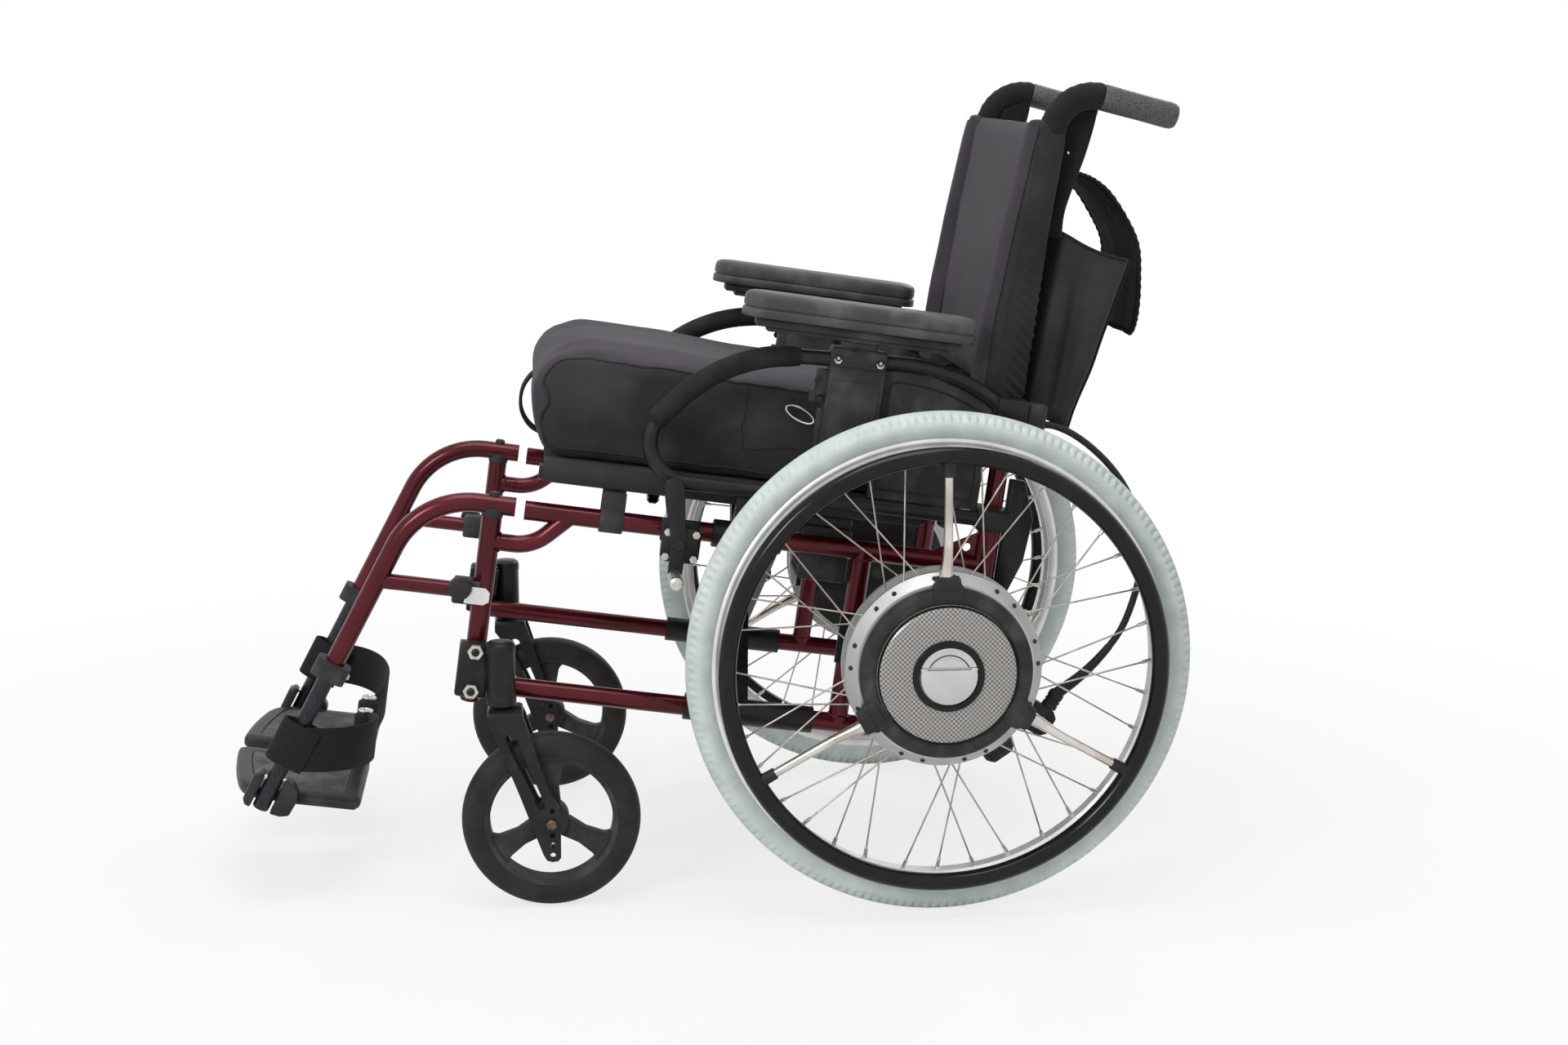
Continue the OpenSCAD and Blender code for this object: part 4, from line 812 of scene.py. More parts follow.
webbing = surface("black_webbing", woven, {"Sheen Weight": 0.05, "Specular IOR Level": 0.12})
loop_route = [Vector((FLIP_U + 28, 10)), Vector((-94, 4)), Vector((-94, -120)),
              Vector((POST_U + 2, POST_W + 4))]
STRAP_MID, STRAP_DROOP, STRAP_WIDE = FLIP_V + 40, 24, 52
for side, hand in HANDS:
    at = on_side(hand)
    leg = on_leg(at)
    body = side + "_hanger"
    path = []
    for k in range(33):
        t = k / 32
        a, b, c, d = loop_route
        p = (1 - t) ** 3 * a + 3 * (1 - t) ** 2 * t * b + 3 * (1 - t) * t * t * c + t ** 3 * d
        path.append(at(p.x, STRAP_MID + 3 * math.sin(math.pi * t) - STRAP_DROOP * t * t, p.y))
    fold = eased([(26, -7, 0), (14, -12, 0), (2, -12.6, 0), (-8, -11.6, 0), (-17, -7.4, 0), (-21.4, 0, 0),
                  (-17, 7.4, 0), (-8, 11.6, 0), (2, 12.8, 0), (12, 13, 0), (22, 11.4, 0)], 3)
    sleeve = [leg(p.x, -46, p.y) for p in fold]
    cuff = [(9.5, -24), (12.2, -24), (12.8, -23), (12.8, 23), (12.2, 24), (9.5, 24)]
    piece(f"{side}_heel_sleeve", body, webbing,
          strap(sleeve, leg(0, 0) - leg(0, 1), STRAP_WIDE, 3))
    loop = piece(f"{side}_heel_strap", body, webbing,
                 joined(strap(path, UPWARD, STRAP_WIDE, 3.4),
                        turned(cuff, at(POST_U, STRAP_MID - STRAP_DROOP, POST_W), UPWARD, 32, closed=True)))
    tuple(at(FLIP_U, FLIP_V, 8))
    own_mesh(loop)
    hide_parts(f"{side}_heel_loop")

# Drive tyres: solid polyurethane in a pale grey-green, with moulded notches along both shoulders
# and fine rings round the side walls. They are stretched into the rims' round beds.
WHEEL_HALF = 288


def on_wheel(hand):
    """Places points of one drive wheel: x rearward, y up, z outboard of the tyre's middle plane."""
    return lambda x, y, z: AXLE + MM * Vector((x, hand * (WHEEL_HALF + z), y))


def pale_poly(place):
    grime = place.grain(45, 5)
    scuff = place.grain(420, 3)
    tone = (grime * 0.7 + scuff * 0.3).step(0.3, 0.72)
    return {"Base Color": tone.colours((0.540, 0.604, 0.577), (0.672, 0.735, 0.705)),
            "Roughness": 0.5 + 0.25 * grime, "Bump": (scuff, 0.25, 0.0006)}


TYRE_STEPS, TYRE_MID_R, TYRE_R = 540, 269, 18.0
NOTCH_DEEP, RING_DEEP = 2.6, 0.5
tyre_poly = surface("pale_tyre", pale_poly, {"Specular IOR Level": 0.35})
for side, hand in HANDS:
    at = on_wheel(hand)
    rings = []
    for k in range(TYRE_STEPS):
        turn = 2 * math.pi * k / TYRE_STEPS
        rings.append([])
        for lean in range(0, 360, 10):
            off_crown = min(lean, 360 - lean)
            r = TYRE_R
            if k % 3 == 0 and 25 < off_crown < 66:
                r -= NOTCH_DEEP
            elif off_crown in (80, 100):
                r -= RING_DEEP
            t = math.radians(lean)
            out = TYRE_MID_R + r * math.cos(t)
            rings[-1].append(at(out * math.cos(turn), out * math.sin(turn), r * math.sin(t)))
    tyre = piece(f"{side}_tyre", side + "_wheel", tyre_poly, lofted(rings, closed=True), 60)
    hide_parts(f"{side}_drive_tyre")

# Rims and spokes: a polished aluminium rim and stainless spokes that cross in pairs from both
# hub flanges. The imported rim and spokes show; the rim's rolled edges and the spokes' nipples are
# added on them.


def polished(place):
    haze = place.grain(30, 3)
    return {"Base Color": haze.step(0.3, 0.75).colours((0.70, 0.70, 0.69), (0.86, 0.86, 0.85)),
            "Roughness": 0.26 + 0.2 * haze}


def drawn_steel(place):
    stain = place.grain(40, 3)
    return {"Base Color": stain.step(0.35, 0.7).colours((0.34, 0.31, 0.28), (0.52, 0.49, 0.46)),
            "Roughness": 0.2 + 0.2 * stain}


rim_alloy = surface("polished_alloy", polished, {"Metallic": 0.6})
spoke_steel = surface("drawn_spoke_steel", drawn_steel, {"Metallic": 1.0})
for side, hand in HANDS:
    at = on_wheel(hand)
    dress(f"{side}_drive_rim", rim_alloy)
    dress(f"{side}_wheel_spokes", spoke_steel)
    edges = []
    for z in (-1, 1):
        lip = [(246, 11 * z), (247, 13.4 * z), (250, 15 * z), (254, 15.8 * z), (257.4, 15.4 * z),
               (259, 13.6 * z), (258, 11 * z)]
        edges.append(turned(lip, at(0, 0, 0), (0, hand, 0), 180, closed=True))
    piece(f"{side}_rim_edges", side + "_wheel", rim_alloy, joined(*edges), 60)
    nipples = []
    for flange in (0, 1):
        for k in range(9):
            for s in (-1, 1):
                pair = 270 + (k + flange / 4) * 40
                head, seat = math.radians(pair + 6 * s), math.radians(pair - 10 * s)
                start = at(105 * math.cos(head), 105 * math.sin(head), (23 if flange == 0 else -8) + 2.6 * s)
                end = at(244 * math.cos(seat), 244 * math.sin(seat), 5 if flange == 0 else -5)
                way = (end - start).normalized()
                nipples.append(swept([end - 15 * MM * way, end - 13 * MM * way, end - 2 * MM * way],
                                     [1.6, 2.2, 2.4], 8))
    piece(f"{side}_spoke_nipples", side + "_wheel", zinc_plate, joined(*nipples))

# Hubs: a cast aluminium motor shell under silver paint, with the spokes' dome-headed screws in
# pairs round its outer flange.


def silver_paint(place):
    flake = place.grain(1800, 1)
    soft = place.grain(16, 3)
    tone = (flake * 0.4 + soft * 0.6).step(0.3, 0.7)
    return {"Base Color": tone.colours((0.50, 0.50, 0.50), (0.64, 0.64, 0.63)),
            "Roughness": 0.34 + 0.14 * soft, "Bump": (flake, 0.05, 0.0002)}


hub_silver = surface("silver_hub_paint", silver_paint,
                     {"Metallic": 0.65, "Coat Weight": 0.3, "Coat Roughness": 0.2})
for side, hand in HANDS:
    at = on_wheel(hand)
    dress(f"{side}_hub_shell", hub_silver)
    screws = []
    for k in range(9):
        for s in (-1, 1):
            a = math.radians(290 + 40 * k + 7 * s)
            seat = at(105.4 * math.cos(a), 105.4 * math.sin(a), 31.4)
            way = Vector((math.cos(a), hand, math.sin(a)))
            screws.append(turned([(0, 2.4), (1.4, 2.2), (2.5, 1.3), (2.9, 0), (3.6, -0.2), (3.6, -0.8),
                                  (0, -0.8)], seat, way, 16))
    piece(f"{side}_hub_screws", side + "_wheel", dark_tube, joined(*screws))

# Handrims: a gloss black tube ring on three chromed arms. Each arm is flared at the hub, where
# a moulded boot of the black carrier ring holds it, and has a rubber end at the ring.


def gloss(place):
    peel = place.grain(160, 2)
    dust = place.grain(20, 4)
    return {"Base Color": dust.step(0.4, 0.8).colours((0.006, 0.006, 0.007), (0.014, 0.014, 0.015)),
            "Roughness": 0.1 + 0.12 * dust, "Bump": (peel, 0.05, 0.0005)}


def chromed(place):
    cloud = place.grain(26, 3)
    # The warm brown end of this colour range is a painted reflection, not a tint of the chrome itself. The
    # noise cloud spreads it over the arms.
    return {"Base Color": cloud.step(0.3, 0.7).colours((0.50, 0.44, 0.38), (0.70, 0.68, 0.66)),
            "Roughness": 0.06 + 0.1 * cloud}


gloss_black = surface("gloss_black_paint", gloss,
                      {"Specular IOR Level": 0.15, "Coat Weight": 0.15, "Coat Roughness": 0.05})
chrome = surface("chrome_plate_painted_reflection", chromed, {"Metallic": 1.0})
ARM_LINE = ((104, 2.5, 47), (116, 2.2, 46.6), (130, 1, 45.6), (150, 0, 44.2), (185, 0, 42.4), (215, 0, 41.2),
            (234, 0, 40.4))


def on_ray(at, turn):
    """Places points by a ray of a wheel: r out along it, t across it, z outboard."""
    way = heading(turn)
    return lambda r, t, z: at(r * way.x - t * way.y, r * way.y + t * way.x, z)


for side, hand in HANDS:
    at = on_wheel(hand)
    body = side + "_handrim"
    hub = at(0, 0, 0)
    out = (0, hand, 0)
    tube = [(243 + 10 * math.cos(t), 40 + 10 * math.sin(t))
            for t in (2 * math.pi * k / 24 for k in range(24))]
    ring = piece(f"{side}_handrim_ring", body, gloss_black,
                 turned(tube, hub, out, 160, closed=True), 60)
    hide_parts(f"{side}_handrim")
    bed = [(79.2, 37.6), (96, 37.6), (97, 39), (97, 45), (95.6, 49), (92, 51.6), (87, 52.6), (82.4, 52.2),
           (79.2, 50.6)]
    boots, arms, ends = [turned(bed, hub, out, 120, closed=True)], [], []
    for turn in THIRDS:
        on_arm = on_ray(at, turn)
        boots.append(slab([(84, -17), (99, -17), (102, -14), (109.5, -13), (109.5, 13), (102, 14), (99, 17),
                           (84, 17)], on_arm, 38, 54, 2.4, 3))
        boots.append(slab([(96, -11), (111, -9.5), (111, 9.5), (96, 11)], on_arm, 39, 55.6, 2.2, 3))
        line = eased([on_arm(*p) for p in ARM_LINE], 5)
        girth = eased([(r, 0, 0) for r in (8.2, 7.4, 6.0, 5.3, 5.0, 4.9, 4.8)], 5)
        arms.append(swept(line, [g.x for g in girth], 20))
        ends.append(swept([on_arm(r, 0, z) for r, z in ((219, 41.1), (220, 41), (231, 40.6), (236, 40.4))],
                          [5.6, 6.6, 6.9, 7.6], 20))
    piece(f"{side}_handrim_carrier", body, black_plastic, joined(*boots))
    piece(f"{side}_handrim_arms", body, chrome, joined(*arms))
    piece(f"{side}_handrim_arm_ends", body, black_rubber, joined(*ends))

# Hub covers: a disc under a grey check foil, a black bezel, and the silver release knob, whose
# upper half is fixed, with a black line painted round it for the shade in its groove, and whose
# lower half is the flap that lifts on two lugs.


def checked(place):
    x = place.along(0) - AXLE.x
    y = place.along(2) - AXLE.z
    weave = x.waves(190) * y.waves(190)
    soft = place.grain(60, 3)
    tone = weave.step(-0.35, 0.35)
    return {"Base Color": tone.colours((0.135, 0.128, 0.121), (0.430, 0.414, 0.392)),
            "Roughness": 0.2 + 0.16 * soft + 0.1 * tone, "Bump": (weave, 0.12, 0.0003)}


check_foil = surface("check_foil", checked, {"Metallic": 0.35, "Coat Weight": 0.5, "Coat Roughness": 0.12})


def knob_part(radius, low, high, steps=36):
    """The outline of a round knob between two heights."""
    line = []
    for k in range(steps + 1):
        a = math.pi * k / steps - math.pi / 2
        y = max(low, min(high, radius * math.sin(a)))
        line.append((math.sqrt(max(0.0, radius ** 2 - y ** 2)), y))
    line += [(-x, y) for x, y in reversed(line)]
    return [p for k, p in enumerate(line) if (Vector(p) - Vector(line[k - 1])).length > 0.2]


for side, hand in HANDS:
    at = on_wheel(hand)
    hub = at(0, 0, 0)
    out = (0, hand, 0)
    disc = [(0, 58), (40, 58), (60, 57.6), (72, 56.6), (76.6, 55), (78.5, 52.6), (78.5, 50.2), (0, 50.2)]
    cover = piece(f"{side}_hub_disc", side + "_wheel", check_foil, turned(disc, hub, out, 120))
    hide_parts(f"{side}_hub_cover")
    bezel = [(32.9, 57.6), (39.6, 57.6), (40.4, 58.6), (39.6, 60.8), (37.4, 62), (35, 62.3), (33.2, 61.6),
             (32.9, 60.6)]
    lip = [(76.4, 55), (78.7, 52.4), (78.7, 53.6), (77.6, 55.4)]
    piece(f"{side}_hub_bezel", side + "_wheel", gloss_black,
          joined(turned(bezel, hub, out, 72, closed=True), turned(lip, hub, out, 120, closed=True)))
    crown = joined(slab(knob_part(32.6, 10.6, 33), at, 57.8, 61.4, 0.7),
                   slab(knob_part(21, 10.8, 22), at, 58, 62.2, 0.8),
                   slab(knob_part(31.6, -33, 33), at, 57.7, 58.2, 0.1))
    piece(f"{side}_knob_crown", side + "_wheel", hub_silver, crown)
    # The black cord round the fixed half is painted shade: a dark line that stands in for the shadow in the
    # groove at the flap's edge.
    groove = [(24.4 * math.cos(t), 24.4 * math.sin(t))
              for t in (math.radians(26 + 128 * k / 32) for k in range(33))]
    piece(f"{side}_knob_shadow_line", side + "_wheel", black_rubber,
          swept([at(x, y, 61.5) for x, y in groove], 0.7, 8))
    lugs = [turned([(0, 0), (1.9, 0), (1.9, 7), (0, 7)], at(x, 8, 60.3), (1, 0, 0), 16)
            for x in (-31.5, 24.5)]
    flap = piece(f"{side}_knob_flap", side + "_release", hub_silver,
                 joined(slab(knob_part(31.6, -33, 7.6), at, 58.5, 62.3, 0.8), *lugs))
    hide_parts(f"{side}_release_handle")

# Motor covers: fixed black housings on the inner side of each hub, with the axle and two ribbed
# sockets on the rim. The power lead's plug is at the left cover's upper one.
for side, hand in HANDS:
    at = on_wheel(hand)
    hub = at(0, 0, 0)
    out = (0, hand, 0)
    shell = [(0, -48), (64, -48), (68, -47.4), (92, -38.4), (95, -36.6), (96, -34), (96, -17), (95, -16),
             (10, -16), (10, 48), (0, 48)]
    axle = [(0, -80.4), (9, -80.4), (10, -79.4), (10, -47.4), (0, -47.4)]
    parts = [turned(shell, hub, out, 96), turned(axle, hub, out, 32)]
    for turn, wide, reach in ((-32, 17, 158), (-56, 19, 142)):
        on_rim = on_ray(at, turn)
        parts.append(slab([(74, -wide), (reach - 8, -wide), (reach, -wide + 7), (reach, wide - 7),
                           (reach - 8, wide), (74, wide)], on_rim, -36, -20, 2.4, 3))
        parts.append(slab([(104, -wide + 4), (reach - 12, -wide + 4), (reach - 12, wide - 4),
                           (104, wide - 4)], on_rim, -37.4, -18.4, 1.2))
        for r in (reach - 7, reach - 11):
            parts.append(slab([(r, -wide + 3), (r + 2, -wide + 3), (r + 2, wide - 3), (r, wide - 3)], on_rim,
                              -36.8, -19.2, 0.5))
    motor = piece(f"{side}_motor_housing", side + "_frame", black_plastic, joined(*parts))
    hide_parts(f"{side}_motor_cover")
    dress(f"{side}_axle_plate", satin_black)

# Armrests: a black hoop of bent tube with a foam sleeve over its nose, a moulded box for the
# sliding post, and clamps on the cane and the seat tube.
ARM_OUT, NOSE_R, BROW_R, TAIL_R = 27, 46, 180, 200
NOSE_TURN, BROW_TURN, TAIL_TURN = 140, 93, 58
TOP_END = 430
nose = arc(210, 104, NOSE_R, 270, NOSE_TURN, 26)
brow_start = Vector(nose[-1]) + 24 * heading(NOSE_TURN - 90)
brow_centre = brow_start - BROW_R * heading(NOSE_TURN)
brow = arc(brow_centre.x, brow_centre.y, BROW_R, NOSE_TURN, BROW_TURN, 18)
top_rise = math.tan(math.radians(BROW_TURN - 90))
top_stop = Vector((TOP_END, brow[-1][1] + (TOP_END - brow[-1][0]) * top_rise))
tail_centre = top_stop - TAIL_R * heading(BROW_TURN)
tail = arc(tail_centre.x, tail_centre.y, TAIL_R, BROW_TURN, TAIL_TURN, 14)
tail_end = Vector(tail[-1]) + 10 * heading(TAIL_TURN - 90)
hoop_line = [(560, 58), (400, 58)] + nose + brow + tail + [tuple(tail_end)]


def foam(place):
    cells = place.grain(1300, 3)
    soft = place.grain(35, 3)
    tone = (cells * 0.5 + soft * 0.5).step(0.3, 0.75)
    return {"Base Color": tone.colours((0.010, 0.010, 0.011), (0.034, 0.034, 0.036)),
            "Roughness": 0.7 + 0.2 * cells, "Bump": (cells, 0.5, 0.0006)}


sleeve_foam = surface("sleeve_foam", foam, {"Specular IOR Level": 0.15})
for side, hand in HANDS:
    at = on_side(hand)
    body = side + "_frame"
    hoop = swept([at(u, v, ARM_OUT) for u, v in hoop_line], 8.6, 24)
    clamps = [brick((548, tail_end.y - 15, -14), (584, tail_end.y + 13, 38), at, 3),
              brick((544, 46, -14), (584, 70, 38), at, 3),
              turned([(11.4, 250), (15, 250), (16, 251), (16, 329), (15, 330), (11.4, 330)],
                     at(0, 0), REARWARD, 40, closed=True),
              brick((270, -6, 13.2), (310, 54, 22), at, 2)]
    bracket = [(583, 104), (600, 104), (616, 60), (612, 10), (598, -30), (583, -24)]
    clamps.append(slab(bracket, at, -6, 6, 1.5))
    slots = [strap([at(596, v, w), at(597, v + 13, w), at(598, v + 26, w)], REARWARD, 9, 0.6)
             for v in (-8, 66) for w in (-6.1, 6.1)]
    hoop_tube = piece(f"{side}_hoop_tube", body, satin_black, joined(hoop, *clamps))
    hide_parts(f"{side}_armrest_frame")
    piece(f"{side}_bracket_slots", body, black_rubber, joined(*slots))
    covered = [p for p in nose if p[1] > 116 and p[0] < 200] + [p for p in brow if p[0] < 326]
    girth = [10.6, 11.8] + [12.2] * (len(covered) - 4) + [11.8, 10.6]
    piece(f"{side}_hoop_foam", body, sleeve_foam,
          swept([at(u, v, ARM_OUT) for u, v in covered], girth, 28))
    box = [brick((351, 111, 13.5), (415, 233, 41), at, 3), brick((356, 116, 40.4), (410, 196, 42.6), at, 1),
           brick((353, 212, 40), (413, 231, 43), at, 1.2), brick((340, 176, 17), (352, 206, 37), at, 2.5),
           brick((334, 168, 20), (346, 182, 34), at, 2), brick((346, 111, 18), (352, 160, 36), at, 1.5),
           brick((584, tail_end.y - 20, 6), (606, tail_end.y + 10, 34), at, 2.5)]
    piece(f"{side}_height_box", body, black_plastic, joined(*box))
    screws = []
    for u, v in ((359, 221), (407, 221), (340, 194), (345, 172)):
        w = 43 if v > 200 else 37
        screws.append(turned([(0, 1), (1.6, 1), (2, 2.2), (3.4, 2), (4, 0), (0, 0)], at(u, v, w),
                             (0, hand, 0), 20))
    piece(f"{side}_box_screws", body, dark_tube, joined(*screws))

# Armrest pads: moulded polyurethane skin over foam, with a lip round the base, screwed to a
# channel on the post that slides in the height-adjust box.


def pad_skin(place):
    leather = place.node("TexVoronoi", {}, {"Vector": place, "Scale": 700.0})
    worn = place.grain(22, 4)
    return {"Base Color": worn.step(0.4, 0.8).colours((0.054, 0.054, 0.053), (0.130, 0.130, 0.127)),
            "Roughness": 0.36 + 0.22 * worn, "Bump": (leather, 0.2, 0.0003)}


pad_leather = surface("moulded_pad_skin", pad_skin, {"Specular IOR Level": 0.25})
PAD_HALF = 27.5


def lozenge(inset, v, at):
    """A ring with round ends, at a height, drawn in from the pad's full outline."""
    half, ring = PAD_HALF - inset, []
    for end, first in ((485.5, -math.pi / 2), (272.5, math.pi / 2)):
        for t in (math.pi * k / 27 + first for k in range(28)):
            ring.append((end + half * math.cos(t) * 0.95, half * math.sin(t)))
    return [at(u, v, ARM_OUT + w) for u, w in ring]


for side, hand in HANDS:
    at = on_side(hand)
    body = side + "_armpad"
    levels = [(5, 255), (1, 255), (0, 256), (0, 263), (0.8, 264.4), (2.6, 265), (2.6, 266), (1.2, 266.8),
              (0.8, 270), (1, 276), (2.4, 279.6), (5, 281.8), (9, 282.9), (15, 283.6), (22, 283.9)]
    pad = piece(f"{side}_arm_cushion", body, pad_leather,
                lofted([lozenge(i, v, at) for i, v in levels]), 50)
    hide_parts(f"{side}_arm_pad")
    post = joined(brick((363, 115.6, 19), (403, 250, 35), at, 1.5),
                  brick((263, 245, 10), (495, 254.8, 44), at, 2),
                  brick((276, 240, 15), (482, 246, 39), at, 1.5))
    slide = piece(f"{side}_pad_post", body, black_plastic, post)
    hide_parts(f"{side}_arm_post")

# Side panels: thin moulded sheets that keep clothes off the wheel, with a raised line round
# the edge, held between the box and the rear clamps.
PANEL_HALF = 1.8
for side, hand in HANDS:
    at = on_side(hand)
    body = side + "_frame"
    under = [(u, v - 8.9) for u, v in tail if u < 540]
    outline = [(415.4, 67), (415.4, top_stop.y - 9.5)] + [p for p in under if p[0] > 418]
    outline += [(543.6, under[-1][1] - 1.5), (543.6, 67)]
    panel = piece(f"{side}_skirt_panel", body, black_plastic,
                  slab(outline, at, ARM_OUT - PANEL_HALF, ARM_OUT + PANEL_HALF, 0.6))
    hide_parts(f"{side}_side_panel")
    inner = [(424, 78), (424, top_stop.y - 24)] + [(u, v - 12) for u, v in under if 426 < u < 532]
    inner += [(535, under[-1][1] - 18), (535, 78), (424, 78)]
    piece(f"{side}_panel_line", body, satin_black,
          swept([at(u, v, ARM_OUT + PANEL_HALF) for u, v in inner], 1.1, 8))

# Wheel locks: a pressed bracket clamped on the seat tube, and a lever with a flat paddle and a
# shoe bar that is pushed against the tyre.
LOCK_REACH, LOCK_DROP = 312.2, 56.598
LOCK_U = FRAME_BACK - math.sqrt(LOCK_REACH ** 2 - LOCK_DROP ** 2)
for side, hand in HANDS:
    at = on_side(hand)
    bracket = [brick((LOCK_U - 19, -13, 11.4), (LOCK_U + 25, 13, 18), at, 1.5),
               brick((LOCK_U - 13, -8, 14), (LOCK_U + 19, 4, 45), at, 2),
               slab([(LOCK_U - 19, -24), (LOCK_U - 13, -30), (LOCK_U + 19, -30), (LOCK_U + 25, -24),
                     (LOCK_U + 25, 4), (LOCK_U + 19, 10), (LOCK_U - 13, 10), (LOCK_U - 19, 4)],
                    at, 44, 50, 1.5)]
    plate = piece(f"{side}_lock_bracket", side + "_frame", satin_black, joined(*bracket))
    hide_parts(f"{side}_wheel_lock_bracket")
    arm = [(LOCK_U - 8, -48), (LOCK_U - 4, -52), (LOCK_U + 4, -52), (LOCK_U + 8, -48), (LOCK_U + 9, -8),
           (LOCK_U + 4, 20), (LOCK_U + 2, 34), (LOCK_U - 1, 56), (LOCK_U - 5, 64), (LOCK_U - 14, 67),
           (LOCK_U - 22, 64), (LOCK_U - 25, 56), (LOCK_U - 19, 30), (LOCK_U - 13, 12), (LOCK_U - 9, -8)]
    hinge = [turned([(0, -14), (5, -14), (5, 0.4), (8, 0.4), (8, 3.6), (8, 9), (6.6, 11), (0, 11.4)],
                    at(LOCK_U, -8, 50), (0, hand, 0), 28),
             slab(arm, at, 53.6, 59.6, 1.6)]
    lever = piece(f"{side}_lock_lever", side + "_wheel_lock", satin_black, joined(*hinge))
    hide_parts(f"{side}_wheel_lock_lever")
    shoe = [(0, 53.6), (7, 53.6), (8, 54.6), (8, 98), (7.2, 101), (5, 102.4), (0, 102.6)]
    piece(f"{side}_lock_shoe", side + "_wheel_lock", zinc_plate,
          turned(shoe, at(LOCK_U, -44), (0, hand, 0), 28))

# Cross brace: two black steel bars that cross on a stud, each with a sleeve on a lower rail and
# a seat rail on its upper end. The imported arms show.
for node in ("cross_arm_a", "cross_arm_b"):
    dress(node, satin_black)

# Battery: a moulded black case clipped inside the left frame, with a lid, a grip and ribs
# across its front, so that it can be lifted out.
at = on_side(-1)
case = [brick((355, -44, -78), (412.4, 20, -11.4), at, 4), brick((357, 20, -76), (411, 33, -13), at, 4),
        brick((395, 30, -70), (407, 34, -30), at, 1.5)]
case += [brick((353.6, v, -70), (357, v + 4, -20), at, 1) for v in (-38, -30, -22, -14)]
battery = piece("battery_case", "left_frame", black_plastic, joined(*case))
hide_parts("battery_pack")

# Seat sling: one tensioned sheet of black nylon with a sleeve sewn round each seat rail. The cushion
# lies on it.


def on_seat(u, y, v):
    """Places points of the tilted seat: u rearward, y to the right, v up from the seat tubes."""
    return on_side(1)(u, v, y - FRAME_HALF)


def nylon(place):
    twill = (place.along(0) * 0.7 + place.along(1) + place.along(2) * 0.8).waves(900)
    cross = (place.along(0) - place.along(1) * 0.6 + place.along(2)).waves(900)
    weave = (twill * cross + 1) * 0.5
    fade = place.grain(12, 4)
    tone = (weave * 0.12 + fade * 0.88).step(0.2, 0.85)
    return {"Base Color": tone.colours((0.019, 0.019, 0.020), (0.052, 0.051, 0.053)),
            "Roughness": 0.66 + 0.2 * fade, "Bump": (weave * 0.35 + place.grain(90, 3) * 1.5, 0.35, 0.0006)}


black_nylon = surface("black_nylon_cloth", nylon, {"Sheen Weight": 0.04, "Specular IOR Level": 0.14})
WRAP_R, RAIL_UP, CLOTH_LONG = 11.5, 48, 436
wrap = [(-FRAME_HALF + WRAP_R * math.cos(t), RAIL_UP + WRAP_R * math.sin(t))
        for t in (math.radians(330 - 240 * k / 20) for k in range(21))]
bridge = [(-FRAME_HALF + 2 * FRAME_HALF * k / 24, RAIL_UP + WRAP_R) for k in range(1, 24)]
sling_path = wrap + bridge + [(-y, v) for y, v in reversed(wrap)]
sling = piece("seat_cloth", "seat", black_nylon,
              strap([on_seat(268, y, v) for y, v in sling_path], REARWARD, CLOTH_LONG, 2.2))
sling_span = sum((Vector(b) - Vector(a)).length for a, b in zip(sling_path, sling_path[1:])) * MM
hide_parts("seat_sling")
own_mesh(sling)

# Seat cushion: foam in a sewn cover, purple-grey stretch cloth over the top and front and black
# nylon round the sides. The filled cover is blown up as cloth; panel, seams and ring come after.


def in_seat(p):
    """A point in the seat's own coordinates, as on_seat takes them."""
    q = (p - on_seat(0, 0, 0)) / MM
    return q.dot(REARWARD), q.y, q.dot(UPWARD)


def swelled(made, voxel, cap):
    """Blows a closed piece up as cloth under pressure; no point moves further than the cap."""
    finish = made.data.materials[0]
    trial = bpy.data.objects.new("trial", made.data.copy())
    bpy.context.collection.objects.link(trial)

    def settled():
        return bpy.data.meshes.new_from_object(trial.evaluated_get(bpy.context.evaluated_depsgraph_get()))

    grid = trial.modifiers.new("grid", "REMESH")
    grid.mode, grid.voxel_size = "VOXEL", voxel * MM
    remeshed = settled()
    trial.modifiers.clear()
    trial.data = remeshed
    before = [v.co.copy() for v in remeshed.vertices]
    cloth = trial.modifiers.new("cloth", "CLOTH")
    cloth.settings.use_pressure = True
    cloth.settings.uniform_pressure_force = 4
    cloth.settings.effector_weights.gravity = 0
    for step in range(1, 21):
        scene.frame_set(step)
    swollen = settled()
    trial.modifiers.clear()
    scene.frame_set(1)
    for vertex, start in zip(swollen.vertices, before):
        move = vertex.co - start
        vertex.co = start + move * min(1, cap * MM / max(move.length, 1e-9))
    trial.data = swollen
    trial.modifiers.new("fine", "SUBSURF").levels = 1
    made.data = settled()
    made.data.materials.clear()
    made.data.materials.append(finish)
    made.data.shade_smooth()
    bpy.data.objects.remove(trial)


def creased(made, depth):
    """Moves each point along its normal by a depth that its place in the seat gives."""
    ways = [v.normal.copy() for v in made.data.vertices]
    for vertex, way in zip(made.data.vertices, ways):
        vertex.co += MM * depth(*in_seat(vertex.co)) * way


